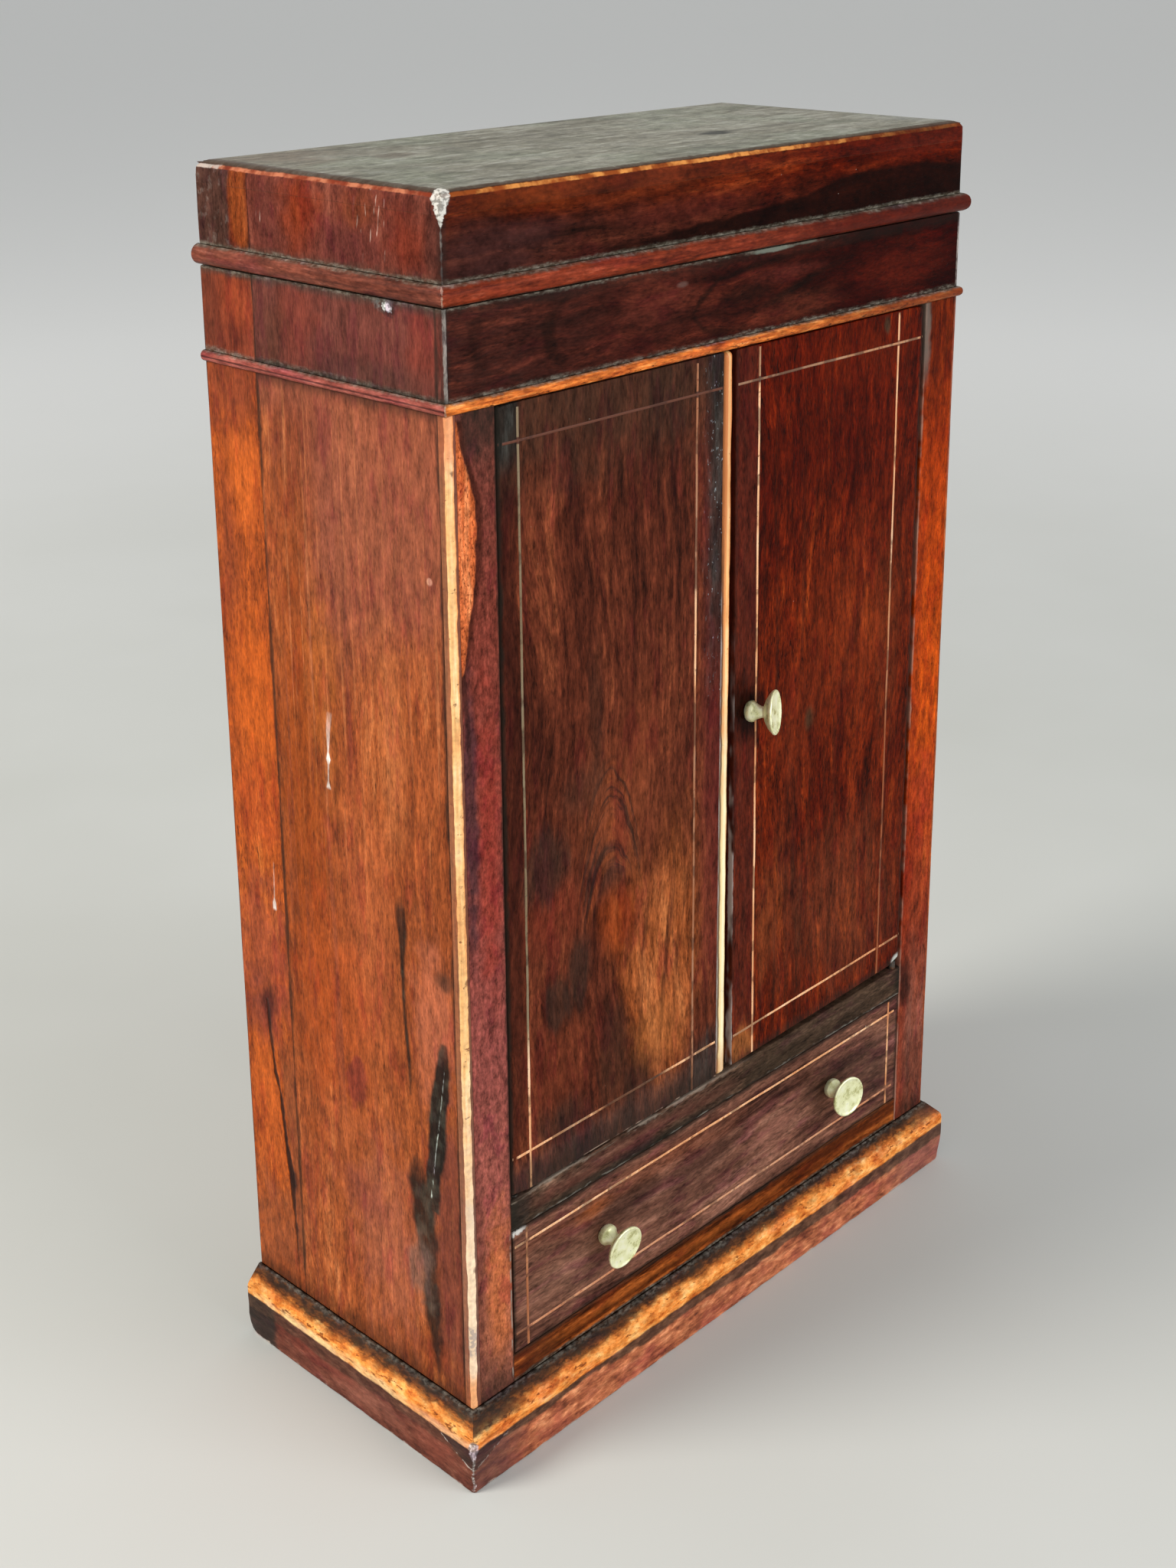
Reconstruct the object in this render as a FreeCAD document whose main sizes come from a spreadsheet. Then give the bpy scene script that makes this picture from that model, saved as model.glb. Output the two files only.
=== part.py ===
"""Small rosewood table cabinet: two pin-hung doors over a drawer, under a tray with a lifting lid.

The frame has +Z up and +X to the viewer's right, with the doors facing -Y. The origin is the middle
of the case's base, on the surface that it stands on. All sizes are in millimetres.
"""
import FreeCAD, Part
import math
import os
from types import SimpleNamespace

import Sketcher

PARTS_FOLDER = "parts"

DIMENSIONS = {
    # case
    "case_width": 200.0,
    "case_depth": 90.0,
    "base_thickness": 5.0,
    "core_thickness": 6.0,
    "veneer_thickness": 1.0,
    "back_thickness": 5.0,
    "back_leaf_width": 21.0,
    "leaf_joint": 0.15,
    # front frame, from the bottom up
    "plinth_height": 20.5,
    "lower_rail_height": 8.2,
    "drawer_opening": 37.6,
    "middle_rail_height": 9.4,
    "door_opening": 211.0,
    "frieze_height": 24.3,
    "lid_height": 26.0,
    "frame_thickness": 7.0,
    "stile_width": 15.0,
    "corner_strip": 2.8,
    # inside the case
    "divider_thickness": 6.0,
    "tray_floor_thickness": 5.0,
    "shelf_thickness": 4.0,
    "shelf_height": 100.0,
    "shelf_setback": 14.0,
    "bearer_section": 4.0,
    "runner_width": 14.0,
    "runner_thickness": 6.0,
    "guide_height": 10.0,
    "stop_length": 3.2,
    "stop_height": 8.0,
    "door_stop_length": 120.0,
    "door_stop_height": 4.0,
    "door_stop_depth": 4.0,
    # mouldings
    "plinth_projection": 5.3,
    "plinth_face_height": 15.6,
    "plinth_ledge": 0.8,
    "plinth_round": 1.8,
    "plinth_foot_round": 0.6,
    "thin_bead_height": 2.9,
    "thin_bead_projection": 1.4,
    "lid_bead_height": 5.2,
    "lid_bead_projection": 2.3,
    # doors
    "door_thickness": 6.0,
    "door_gap": 0.4,
    "left_door_rise": 0.6,
    "right_door_rise": 2.7,
    "door_edge_round": 1.6,
    "meeting_bead_width": 3.6,
    "meeting_bead_proud": 0.4,
    "meeting_bead_round": 1.5,
    "meeting_bead_reach": 0.2,
    "right_door_reach": 0.8,
    "pivot_inset": 2.0,
    "pivot_setback": 1.8,
    "pivot_radius": 0.6,
    "pivot_collar_radius": 1.3,
    "pivot_in_rail": 6.0,
    "pivot_in_door": 5.0,
    "running_clearance": 0.05,
    # boxwood lines let into the doors and the drawer
    "line_width": 1.0,
    "line_depth": 0.6,
    "door_line_top": 9.6,
    "door_line_bottom": 11.8,
    "left_line_outer": 6.9,
    "left_line_inner": 10.4,
    "right_line_outer": 12.6,
    "right_line_inner": 9.4,
    "drawer_line_side": 5.0,
    "drawer_line_top": 4.8,
    "drawer_line_bottom": 5.6,
    # drawer
    "drawer_side_gap": 0.4,
    "drawer_play": 0.3,
    "drawer_front_thickness": 7.0,
    "drawer_side_thickness": 3.5,
    "drawer_length": 81.5,
    "drawer_side_height": 33.0,
    "drawer_bottom_thickness": 2.0,
    "drawer_bottom_rise": 2.0,
    "drawer_groove": 1.2,
    # knobs, along the axis from the surface that they stand on
    "knob_shank_radius": 1.1,
    "knob_shank_length": 4.6,
    "knob_collar_radius": 2.9,
    "knob_collar_length": 1.9,
    "knob_neck_radius": 1.5,
    "knob_neck_place": 5.0,
    "knob_head_radius": 6.2,
    "knob_rim_place": 7.7,
    "knob_rim_thickness": 0.6,
    "knob_rim_width": 0.8,
    "knob_dish_depth": 0.45,
    "knob_back_curve": 8.0,
    "drawer_knob_spread": 50.2,
    "drawer_knob_height": 48.6,
    "door_knob_inset": 5.8,
    "door_knob_height": 185.2,
    # lid
    "lid_gap": 0.3,
    "lid_wall": 6.0,
    "lid_top_thickness": 5.5,
    "lid_top_round": 3.2,
    "lid_corner_round": 1.0,
    # lid hinges
    "hinge_length": 22.0,
    "hinge_spread": 60.0,
    "hinge_leaf_thickness": 0.8,
    "hinge_leaf_width": 4.0,
    "hinge_leaf_play": 0.05,
    "knuckle_radius": 1.3,
    "knuckle_offset": 1.45,
    "knuckle_length": 7.2,
    "knuckle_play": 0.15,
    "hinge_pin_radius": 0.6,
    "screw_spread": 7.0,
    "screw_from_back": 2.2,
    "screw_head_radius": 1.1,
    "screw_head_depth": 0.6,
    "screw_shank_radius": 0.55,
    "screw_length": 5.0,
}

# How far each knob leans on its shank, in degrees: turned to the right, and tipped up.
KNOB_LEAN = {
    "door_knob": (18.0, 5.0),
    "drawer_knob_left": (0.0, -7.0),
    "drawer_knob_right": (-7.0, 2.0),
}

DOC = FreeCAD.newDocument("table_cabinet")
NODES = []


# --------------------------------------------------------------------------- sizes and bindings

class Size:
    """A length that knows both its value and the expression that gives it from the sheet."""

    def __init__(self, value, text):
        self.value = value
        self.text = text

    def joined(self, sign, other, value):
        return Size(value, f"({self.text} {sign} {size(other).text})")

    def __add__(self, other):
        return self.joined("+", other, self.value + size(other).value)

    def __sub__(self, other):
        return self.joined("-", other, self.value - size(other).value)

    def __mul__(self, other):
        return self.joined("*", other, self.value * size(other).value)

    def __truediv__(self, other):
        return self.joined("/", other, self.value / size(other).value)

    def __neg__(self):
        return size(0.0) - self


def size(number):
    """A Size as it is, or a plain number as a Size."""
    return number if isinstance(number, Size) else Size(float(number), repr(float(number)))


def make_sheet():
    """Write the driving dimensions into the sheet and hand them back as Sizes."""
    sheet = DOC.addObject("Spreadsheet::Sheet", "dims")
    for row, (alias, value) in enumerate(DIMENSIONS.items(), start=1):
        sheet.set(f"A{row}", alias)
        sheet.set(f"B{row}", str(value))
        sheet.setAlias(f"B{row}", alias)
    DOC.recompute()
    return SimpleNamespace(**{alias: Size(value, "dims." + alias) for alias, value in DIMENSIONS.items()})


def bind(thing, name, length):
    thing.setExpression(name, size(length).text)


def place(thing, x, y, z, rotation=FreeCAD.Rotation()):
    """Put an object at a bound place, turned by a fixed rotation."""
    thing.Placement = FreeCAD.Placement(FreeCAD.Vector(), rotation)
    for axis, length in zip("xyz", (x, y, z)):
        bind(thing, "Placement.Base." + axis, length)
    return thing


def node(thing, name):
    """Name a finished sub-part: its label is its file's name."""
    thing.Label = name
    NODES.append(thing)
    return thing


D = make_sheet()

# Faces and levels of the case that most pieces are measured from.
HALF = D.case_width / 2
FRONT = -(D.case_depth / 2)
BACK = D.case_depth / 2
SKIN_IN = HALF - D.veneer_thickness
WALL_IN = SKIN_IN - D.core_thickness
STILE_IN = HALF - D.stile_width
FRAME_BACK = FRONT + D.frame_thickness
BACK_IN = BACK - D.back_thickness
DRAWER_FLOOR = D.plinth_height + D.lower_rail_height
DRAWER_CEILING = DRAWER_FLOOR + D.drawer_opening
CUPBOARD_FLOOR = DRAWER_CEILING + D.middle_rail_height
CUPBOARD_CEILING = CUPBOARD_FLOOR + D.door_opening
RIM = CUPBOARD_CEILING + D.frieze_height
LID_BASE = RIM + D.lid_gap
LID_PEAK = RIM + D.lid_height
HINGE_AXIS = RIM + D.lid_gap / 2


# --------------------------------------------------------------------------- solids

def board(name, x, y, z):
    """A plain board between two faces on each axis."""
    box = DOC.addObject("Part::Box", name)
    for side, axis, (low, high) in zip(("Length", "Width", "Height"), "xyz", (x, y, z)):
        bind(box, side, size(high) - low)
        bind(box, "Placement.Base." + axis, low)
    return box


def rod(name, radius, length, x, y, z, rotation=FreeCAD.Rotation()):
    """A round rod that starts at a place and runs along the rotated Z axis."""
    cylinder = DOC.addObject("Part::Cylinder", name)
    bind(cylinder, "Radius", radius)
    bind(cylinder, "Height", length)
    return place(cylinder, x, y, z, rotation)


def fuse(name, pieces):
    union = DOC.addObject("Part::MultiFuse", name)
    union.Shapes = pieces
    union.Refine = True
    return union


def group(name, pieces):
    compound = DOC.addObject("Part::Compound", name)
    compound.Links = pieces
    return compound


def cut(name, base, tools):
    """The base with every tool taken out of it."""
    tool = tools[0] if len(tools) == 1 else group(name + "_tools", tools)
    difference = DOC.addObject("Part::Cut", name)
    difference.Base = base
    difference.Tool = tool
    return difference


def origin_plane(body, role):
    return next(item for item in body.Origin.OriginFeatures if item.Role == role)


def arc_between(start, end, radius, bulge):
    """The short arc between two points; a bulge of 1 puts it on the left of the way from start to end.

    It is always made anticlockwise, which is how a sketch counts an arc's two ends.
    """
    chord = end - start
    left = FreeCAD.Vector(-chord.y, chord.x, 0).normalize()
    sagitta = radius - math.sqrt(max(radius**2 - (chord.Length / 2) ** 2, 0.0))
    middle = (start + end) * 0.5 + left * bulge * sagitta
    return Part.Arc(end, middle, start) if bulge > 0 else Part.Arc(start, middle, end)


def outline(body, name, plane, steps):
    """A closed sketch through the steps: (u, v) ends a line, (u, v, radius, bulge) ends an arc.

    Every corner is held at its bound distance from the origin, and every arc has a bound radius.
    """
    sketch = body.newObject("Sketcher::SketchObject", name)
    sketch.AttachmentSupport = [(origin_plane(body, plane), "")]
    sketch.MapMode = "FlatFace"
    corners = [FreeCAD.Vector(size(step[0]).value, size(step[1]).value, 0) for step in steps]
    ends = []
    for index, step in enumerate(steps):
        start, end = corners[index - 1], corners[index]
        if len(step) == 2:
            sketch.addGeometry(Part.LineSegment(start, end))
        else:
            sketch.addGeometry(arc_between(start, end, size(step[2]).value, step[3]))
        ends.append((2, 1) if len(step) > 2 and step[3] > 0 else (1, 2))
    for index, step in enumerate(steps):
        following = (index + 1) % len(steps)
        end, next_start = ends[index][1], ends[following][0]
        sketch.addConstraint(Sketcher.Constraint("Coincident", index, end, following, next_start))
        for kind, where in (("DistanceX", size(step[0])), ("DistanceY", size(step[1]))):
            held = sketch.addConstraint(Sketcher.Constraint(kind, -1, 1, index, end, where.value))
            bind(sketch, f"Constraints[{held}]", where)
        if len(step) > 2:
            held = sketch.addConstraint(Sketcher.Constraint("Radius", index, size(step[2]).value))
            bind(sketch, f"Constraints[{held}]", step[2])
    return sketch


def padded(name, plane, steps, length):
    """A body padded from one outline."""
    body = DOC.addObject("PartDesign::Body", name)
    pad = body.newObject("PartDesign::Pad", name + "_pad")
    pad.Profile = outline(body, name + "_outline", plane, steps)
    bind(pad, "Length", length)
    DOC.recompute()
    return body


def pocket(body, name, plane, steps, depth):
    """Cut an outline out of the body, on the side of the plane that its normal points to."""
    before = body.Shape.Volume
    hole = body.newObject("PartDesign::Pocket", name)
    hole.Profile = outline(body, name + "_outline", plane, steps)
    hole.Reversed = True
    bind(hole, "Length", depth)
    DOC.recompute()
    if body.Shape.Volume >= before:
        raise RuntimeError(name + " cuts nothing")
    return hole


def along(edge, axis):
    return abs(abs(edge.tangentAt(edge.FirstParameter).normalize().dot(axis)) - 1) < 1e-6


def rounded(body, name, radius, chosen):
    """Round the edges of the body's last feature that the test picks."""
    last = body.Tip
    picked = [f"Edge{number}" for number, edge in enumerate(last.Shape.Edges, start=1) if chosen(edge)]
    fillet = body.newObject("PartDesign::Fillet", name)
    fillet.Base = (last, picked)
    bind(fillet, "Radius", radius)
    DOC.recompute()
    return fillet


def rectangle(u, v):
    """The four corners of an upright rectangle between two values of u and of v."""
    return [(u[0], v[0]), (u[1], v[0]), (u[1], v[1]), (u[0], v[1])]


# --------------------------------------------------------------------------- carcass

def sides():
    """Core boards, and on each the large front leaf of veneer and the narrow leaf behind it."""
    leaf_edge = BACK - D.back_leaf_width
    core = (FRAME_BACK, BACK), (D.base_thickness, RIM)
    node(board("left_core", (-SKIN_IN, -WALL_IN), *core), "left_side")
    node(board("right_core", (WALL_IN, SKIN_IN), *core), "right_side")
    back_leaf = (leaf_edge, BACK), (0, RIM)
    node(board("left_leaf", (-HALF, -SKIN_IN), *back_leaf), "left_back_leaf")
    node(board("right_leaf", (SKIN_IN, HALF), *back_leaf), "right_back_leaf")
    joint = leaf_edge - D.leaf_joint
    strip_back = FRONT + D.corner_strip
    veneer = padded("left_veneer", "YZ_Plane", [
        (strip_back, 0), (joint, 0), (joint, RIM), (FRONT, RIM),
        (FRONT, CUPBOARD_CEILING), (strip_back, CUPBOARD_CEILING),
    ], D.veneer_thickness)
    node(place(veneer, -HALF, 0, 0), "left_side_veneer")
    node(board("right_veneer", (SKIN_IN, HALF), (FRONT, joint), (0, RIM)), "right_side_veneer")


def front_frame():
    """Stiles, rails and frieze board, with the light strip let into the left front corner."""
    strip_in = HALF - D.corner_strip
    strip_back = FRONT + D.corner_strip
    stile = padded("left_stile_body", "XY_Plane", [
        (-strip_in, FRONT), (-STILE_IN, FRONT), (-STILE_IN, FRAME_BACK), (-SKIN_IN, FRAME_BACK),
        (-SKIN_IN, strip_back), (-strip_in, strip_back),
    ], CUPBOARD_CEILING)
    node(stile, "left_stile")
    upright = (FRONT, FRAME_BACK), (0, CUPBOARD_CEILING)
    node(board("right_stile_board", (STILE_IN, SKIN_IN), *upright), "right_stile")
    strip = board("strip", (-HALF, -strip_in), (FRONT, strip_back), (0, CUPBOARD_CEILING))
    node(strip, "corner_stringing")
    between = (-STILE_IN, STILE_IN), (FRONT, FRAME_BACK)
    node(board("lower_rail_board", *between, (0, DRAWER_FLOOR)), "lower_rail")
    middle = board("middle_rail_board", *between, (DRAWER_CEILING, CUPBOARD_FLOOR))
    node(cut("middle_rail_cut", middle, PIVOTS["bottom"]), "middle_rail")
    frieze = board("frieze_board", (-SKIN_IN, SKIN_IN), (FRONT, FRAME_BACK), (CUPBOARD_CEILING, RIM))
    node(cut("frieze_cut", frieze, PIVOTS["top"]), "frieze_front")


def inner_boards():
    """Base, drawer divider, cupboard shelf, tray floor and back."""
    inside = (-WALL_IN, WALL_IN)
    behind = (FRAME_BACK, BACK_IN)
    node(board("base", (-SKIN_IN, SKIN_IN), (FRAME_BACK, BACK), (0, D.base_thickness)), "base_board")
    divider = (CUPBOARD_FLOOR - D.divider_thickness, CUPBOARD_FLOOR)
    node(board("divider", inside, behind, divider), "drawer_divider")
    tray = (CUPBOARD_CEILING, CUPBOARD_CEILING + D.tray_floor_thickness)
    node(board("tray", inside, behind, tray), "tray_floor")
    shelf_top = CUPBOARD_FLOOR + D.shelf_height
    shelf_under = shelf_top - D.shelf_thickness
    setback = (FRONT + D.shelf_setback, BACK_IN)
    node(board("shelf_board", inside, setback, (shelf_under, shelf_top)), "shelf")
    bearer_in = WALL_IN - D.bearer_section
    bearers = [
        board(side + "_bearer", x, setback, (shelf_under - D.bearer_section, shelf_under))
        for side, x in (("left", (-WALL_IN, -bearer_in)), ("right", (bearer_in, WALL_IN)))
    ]
    node(group("bearers", bearers), "shelf_bearers")
    panel = board("panel", inside, (BACK_IN, BACK), (D.base_thickness, RIM))
    recesses = [hinge_recess("case", side, HINGE_AXIS - D.hinge_leaf_play, -1) for side in (-1, 1)]
    node(cut("back_cut", panel, recesses + [CASE_SCREWS]), "back_panel")


def drawer_supports():
    """Runners under the drawer's sides, guides beside it and a stop block behind each side."""
    runner_in = WALL_IN - D.runner_width
    run = (FRAME_BACK, BACK_IN)
    supports = {"drawer_runners": [], "drawer_guides": [], "drawer_stops": []}
    for side, runner_x, guide_x in (
        ("left", (-WALL_IN, -runner_in), (-WALL_IN, -STILE_IN)),
        ("right", (runner_in, WALL_IN), (STILE_IN, WALL_IN)),
    ):
        under = (DRAWER_FLOOR - D.runner_thickness, DRAWER_FLOOR)
        supports["drawer_runners"].append(board(side + "_runner", runner_x, run, under))
        beside = (DRAWER_FLOOR, DRAWER_FLOOR + D.guide_height)
        supports["drawer_guides"].append(board(side + "_guide", guide_x, run, beside))
        block_x = (-STILE_IN, -runner_in) if side == "left" else (runner_in, STILE_IN)
        block_z = (DRAWER_FLOOR, DRAWER_FLOOR + D.stop_height)
        block = board(side + "_stop", block_x, (BACK_IN - D.stop_length, BACK_IN), block_z)
        supports["drawer_stops"].append(block)
    for name, pieces in supports.items():
        node(group(name + "_group", pieces), name)


def door_stops():
    """A strip on the cupboard's floor and one under its ceiling, just behind the doors."""
    half = D.door_stop_length / 2
    near = FRONT + D.door_thickness + D.running_clearance
    depth = (near, near + D.door_stop_depth)
    floor = (CUPBOARD_FLOOR, CUPBOARD_FLOOR + D.door_stop_height)
    ceiling = (CUPBOARD_CEILING - D.door_stop_height, CUPBOARD_CEILING)
    strips = [
        board(name, (-half, half), depth, z) for name, z in (("stop_low", floor), ("stop_high", ceiling))
    ]
    node(group("stop_strips", strips), "door_stops")


# --------------------------------------------------------------------------- mouldings

def mitre(body, name, projection, length, height, ends):
    """Cut the chosen ends of a moulding at 45 degrees, from its outer arris back to the wall."""
    if "low" in ends:
        corner = [(0, -projection), (projection, 0), (0, 0)]
        pocket(body, name + "_mitre_low", "XY_Plane", corner, height)
    if "high" in ends:
        corner = [(length, -projection), (length, 0), (length - projection, 0)]
        pocket(body, name + "_mitre_high", "XY_Plane", corner, height)


def surround(name, section, projection, height, base_z, finish=None):
    """A moulding round the front and both sides, in three lengths mitred at the front corners.

    Each length is made along +X with the wall at Y = 0, and is then turned to its side.
    """
    across = D.case_width + projection * 2
    along_side = D.case_depth + projection
    runs = {
        "front": (across, ("low", "high"), 0, (-(HALF + projection), FRONT)),
        "left": (along_side, ("high",), -90, (-HALF, BACK)),
        "right": (along_side, ("low",), 90, (HALF, FRONT - projection)),
    }
    for side, (length, ends, turn, (x, y)) in runs.items():
        label = f"{name}_{side}"
        body = padded(label + "_body", "YZ_Plane", section, length)
        if finish:
            finish(body, label)
        mitre(body, label, projection, length, height, ends)
        rotation = FreeCAD.Rotation(FreeCAD.Vector(0, 0, 1), turn)
        node(place(body, x, y, base_z, rotation), label)


def half_round(height, projection):
    """A bead's section: an arc that bulges from the wall, which lies at Y = 0."""
    radius = (height * height / 4 + projection * projection) / (projection * 2)
    return [(0, 0), (0, height, radius, 1)]


def plinth_finish(body, label):
    """Round the plinth's upper and lower outer arrises."""
    run = FreeCAD.Vector(1, 0, 0)
    outer = -D.plinth_projection.value

    def arris(height):
        return lambda edge: along(edge, run) and (
            abs(edge.Vertexes[0].Y - outer) < 1e-6 and abs(edge.Vertexes[0].Z - height) < 1e-6
        )

    rounded(body, label + "_round", D.plinth_round, arris(D.plinth_face_height.value))
    rounded(body, label + "_foot", D.plinth_foot_round, arris(0.0))


def mouldings():
    plinth = [
        (0, 0), (-D.plinth_projection, 0), (-D.plinth_projection, D.plinth_face_height),
        (-D.plinth_ledge, D.plinth_height), (0, D.plinth_height),
    ]
    surround("plinth", plinth, D.plinth_projection, D.plinth_height, 0, plinth_finish)
    thin = half_round(D.thin_bead_height, D.thin_bead_projection)
    surround("thin_bead", thin, D.thin_bead_projection, D.thin_bead_height, CUPBOARD_CEILING)
    wide = half_round(D.lid_bead_height, D.lid_bead_projection)
    surround("lid_bead", wide, D.lid_bead_projection, D.lid_bead_height, LID_BASE)


# --------------------------------------------------------------------------- doors

DOOR_TOP = CUPBOARD_CEILING - D.door_gap
DOOR_OUTER = STILE_IN - D.door_gap
PIVOT_X = DOOR_OUTER - D.pivot_inset
PIVOT_Y = FRONT + D.pivot_setback
DOOR_RISE = {"left": D.left_door_rise, "right": D.right_door_rise}


def pivots():
    """The four pins that the doors turn on; the lower ones have a collar that carries the door."""
    pins = {"bottom": [], "top": []}
    for side, x in (("left", -PIVOT_X), ("right", PIVOT_X)):
        rise = DOOR_RISE[side]
        length = D.pivot_in_rail + rise + D.pivot_in_door
        pin = rod(side + "_pin", D.pivot_radius, length, x, PIVOT_Y, CUPBOARD_FLOOR - D.pivot_in_rail)
        collar_height = rise - D.running_clearance
        collar = rod(side + "_collar", D.pivot_collar_radius, collar_height, x, PIVOT_Y, CUPBOARD_FLOOR)
        pins["bottom"].append(fuse(side + "_lower_pivot", [pin, collar]))
        length = D.pivot_in_door + D.door_gap + D.pivot_in_rail
        pins["top"].append(
            rod(side + "_upper_pivot", D.pivot_radius, length, x, PIVOT_Y, DOOR_TOP - D.pivot_in_door)
        )
    node(group("pivots", pins["bottom"] + pins["top"]), "door_pivot_pins")
    return pins


def pivot_sockets(side, x):
    """The holes in a door that its pins run in."""
    depth = D.pivot_in_door + D.running_clearance
    radius = D.pivot_radius + D.running_clearance
    bottom = CUPBOARD_FLOOR + DOOR_RISE[side]
    return [
        rod(side + "_lower_socket", radius, depth, x, PIVOT_Y, bottom),
        rod(side + "_upper_socket", radius, depth, x, PIVOT_Y, DOOR_TOP - depth),
    ]


def crossed_lines(name, panel, x, z, upright, level):
    """Two upright and two level lines that cross and run on to the edges of the panel."""
    half = D.line_width / 2
    depth = (FRONT, FRONT + D.line_depth)
    strips = [board(f"{name}_upright_{n}", (at - half, at + half), depth, z) for n, at in enumerate(upright)]
    strips += [board(f"{name}_level_{n}", x, depth, (at - half, at + half)) for n, at in enumerate(level)]
    lines = DOC.addObject("Part::Common", name + "_lines")
    lines.Base = fuse(name + "_strips", strips)
    lines.Tool = panel
    return node(lines, name)


def door_panel(side, x):
    """One door with its front outer arris rounded, so that it can turn beside the stile."""
    bottom = CUPBOARD_FLOOR + DOOR_RISE[side]
    section = rectangle(x, (FRONT, FRONT + D.door_thickness))
    body = padded(side + "_door_body", "XY_Plane", section, DOOR_TOP - bottom)
    outer = x[0].value if side == "left" else x[1].value
    upright = FreeCAD.Vector(0, 0, 1)
    rounded(body, side + "_door_round", D.door_edge_round, lambda edge: (
        along(edge, upright)
        and abs(edge.Vertexes[0].X - outer) < 1e-6 and abs(edge.Vertexes[0].Y - FRONT.value) < 1e-6
    ))
    return place(body, 0, 0, bottom)


def left_door():
    bead_edge = -(D.meeting_bead_reach + D.meeting_bead_width)
    x = (-DOOR_OUTER, bead_edge)
    bottom = CUPBOARD_FLOOR + D.left_door_rise
    panel = door_panel("left", x)
    lines = crossed_lines(
        "left_door_stringing", panel, x, (bottom, DOOR_TOP),
        (-DOOR_OUTER + D.left_line_outer, bead_edge - D.left_line_inner),
        (CUPBOARD_FLOOR + D.door_line_bottom, CUPBOARD_CEILING - D.door_line_top),
    )
    node(cut("left_door_cut", panel, pivot_sockets("left", -PIVOT_X) + [lines]), "left_door_panel")
    bead = padded("meeting_bead_body", "XY_Plane", rectangle(
        (bead_edge, -D.meeting_bead_reach), (FRONT - D.meeting_bead_proud, FRONT + D.door_thickness)
    ), DOOR_TOP - bottom)
    upright = FreeCAD.Vector(0, 0, 1)
    nose = FRONT.value - D.meeting_bead_proud.value
    rounded(bead, "meeting_bead_round", D.meeting_bead_round,
            lambda edge: along(edge, upright) and abs(edge.Vertexes[0].Y - nose) < 1e-6)
    node(place(bead, 0, 0, bottom), "meeting_bead")


def right_door():
    x = (D.right_door_reach, DOOR_OUTER)
    bottom = CUPBOARD_FLOOR + D.right_door_rise
    panel = door_panel("right", x)
    lines = crossed_lines(
        "right_door_stringing", panel, x, (bottom, DOOR_TOP),
        (D.right_door_reach + D.right_line_inner, DOOR_OUTER - D.right_line_outer),
        (CUPBOARD_FLOOR + D.door_line_bottom, CUPBOARD_CEILING - D.door_line_top),
    )
    handle = knob("door_knob", D.right_door_reach + D.door_knob_inset, D.door_knob_height)
    tools = pivot_sockets("right", PIVOT_X) + [lines, handle]
    node(cut("right_door_cut", panel, tools), "right_door_panel")


def knob(name, x, z):
    """A turned brass knob: shank in the wood, round collar, narrow neck and dished round head.

    Its axis is local Y, with the wood on the +Y side. The head's back and the collar are arcs.
    """
    rim_back = -D.knob_rim_place
    rim_front = rim_back - D.knob_rim_thickness
    inner_rim = D.knob_head_radius - D.knob_rim_width
    bevel = D.knob_rim_width / 4
    hollow = D.knob_dish_depth - bevel
    dish_radius = (inner_rim * inner_rim + hollow * hollow) / (hollow * 2)
    body = DOC.addObject("PartDesign::Body", name + "_body")
    turned = body.newObject("PartDesign::Revolution", name + "_turned")
    turned.Profile = outline(body, name + "_outline", "XY_Plane", [
        (0, D.knob_shank_length),
        (0, rim_front + D.knob_dish_depth),
        (inner_rim, rim_front + bevel, dish_radius, 1),
        (D.knob_head_radius - bevel, rim_front),
        (D.knob_head_radius, rim_back),
        (D.knob_neck_radius, -D.knob_neck_place, D.knob_back_curve, -1),
        (D.knob_collar_radius, -D.knob_collar_length, D.knob_neck_place, 1),
        (D.knob_collar_radius - D.knob_collar_length / 4, 0, D.knob_collar_length, -1),
        (D.knob_shank_radius, 0),
        (D.knob_shank_radius, D.knob_shank_length),
    ])
    turned.ReferenceAxis = (turned.Profile[0], ["V_Axis"])
    turned.Angle = 360.0
    DOC.recompute()
    turn, tip = KNOB_LEAN[name]
    lean = FreeCAD.Rotation(FreeCAD.Vector(0, 0, 1), turn) * FreeCAD.Rotation(FreeCAD.Vector(1, 0, 0), -tip)
    return node(place(body, x, FRONT, z, lean), name)


# --------------------------------------------------------------------------- drawer

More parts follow.
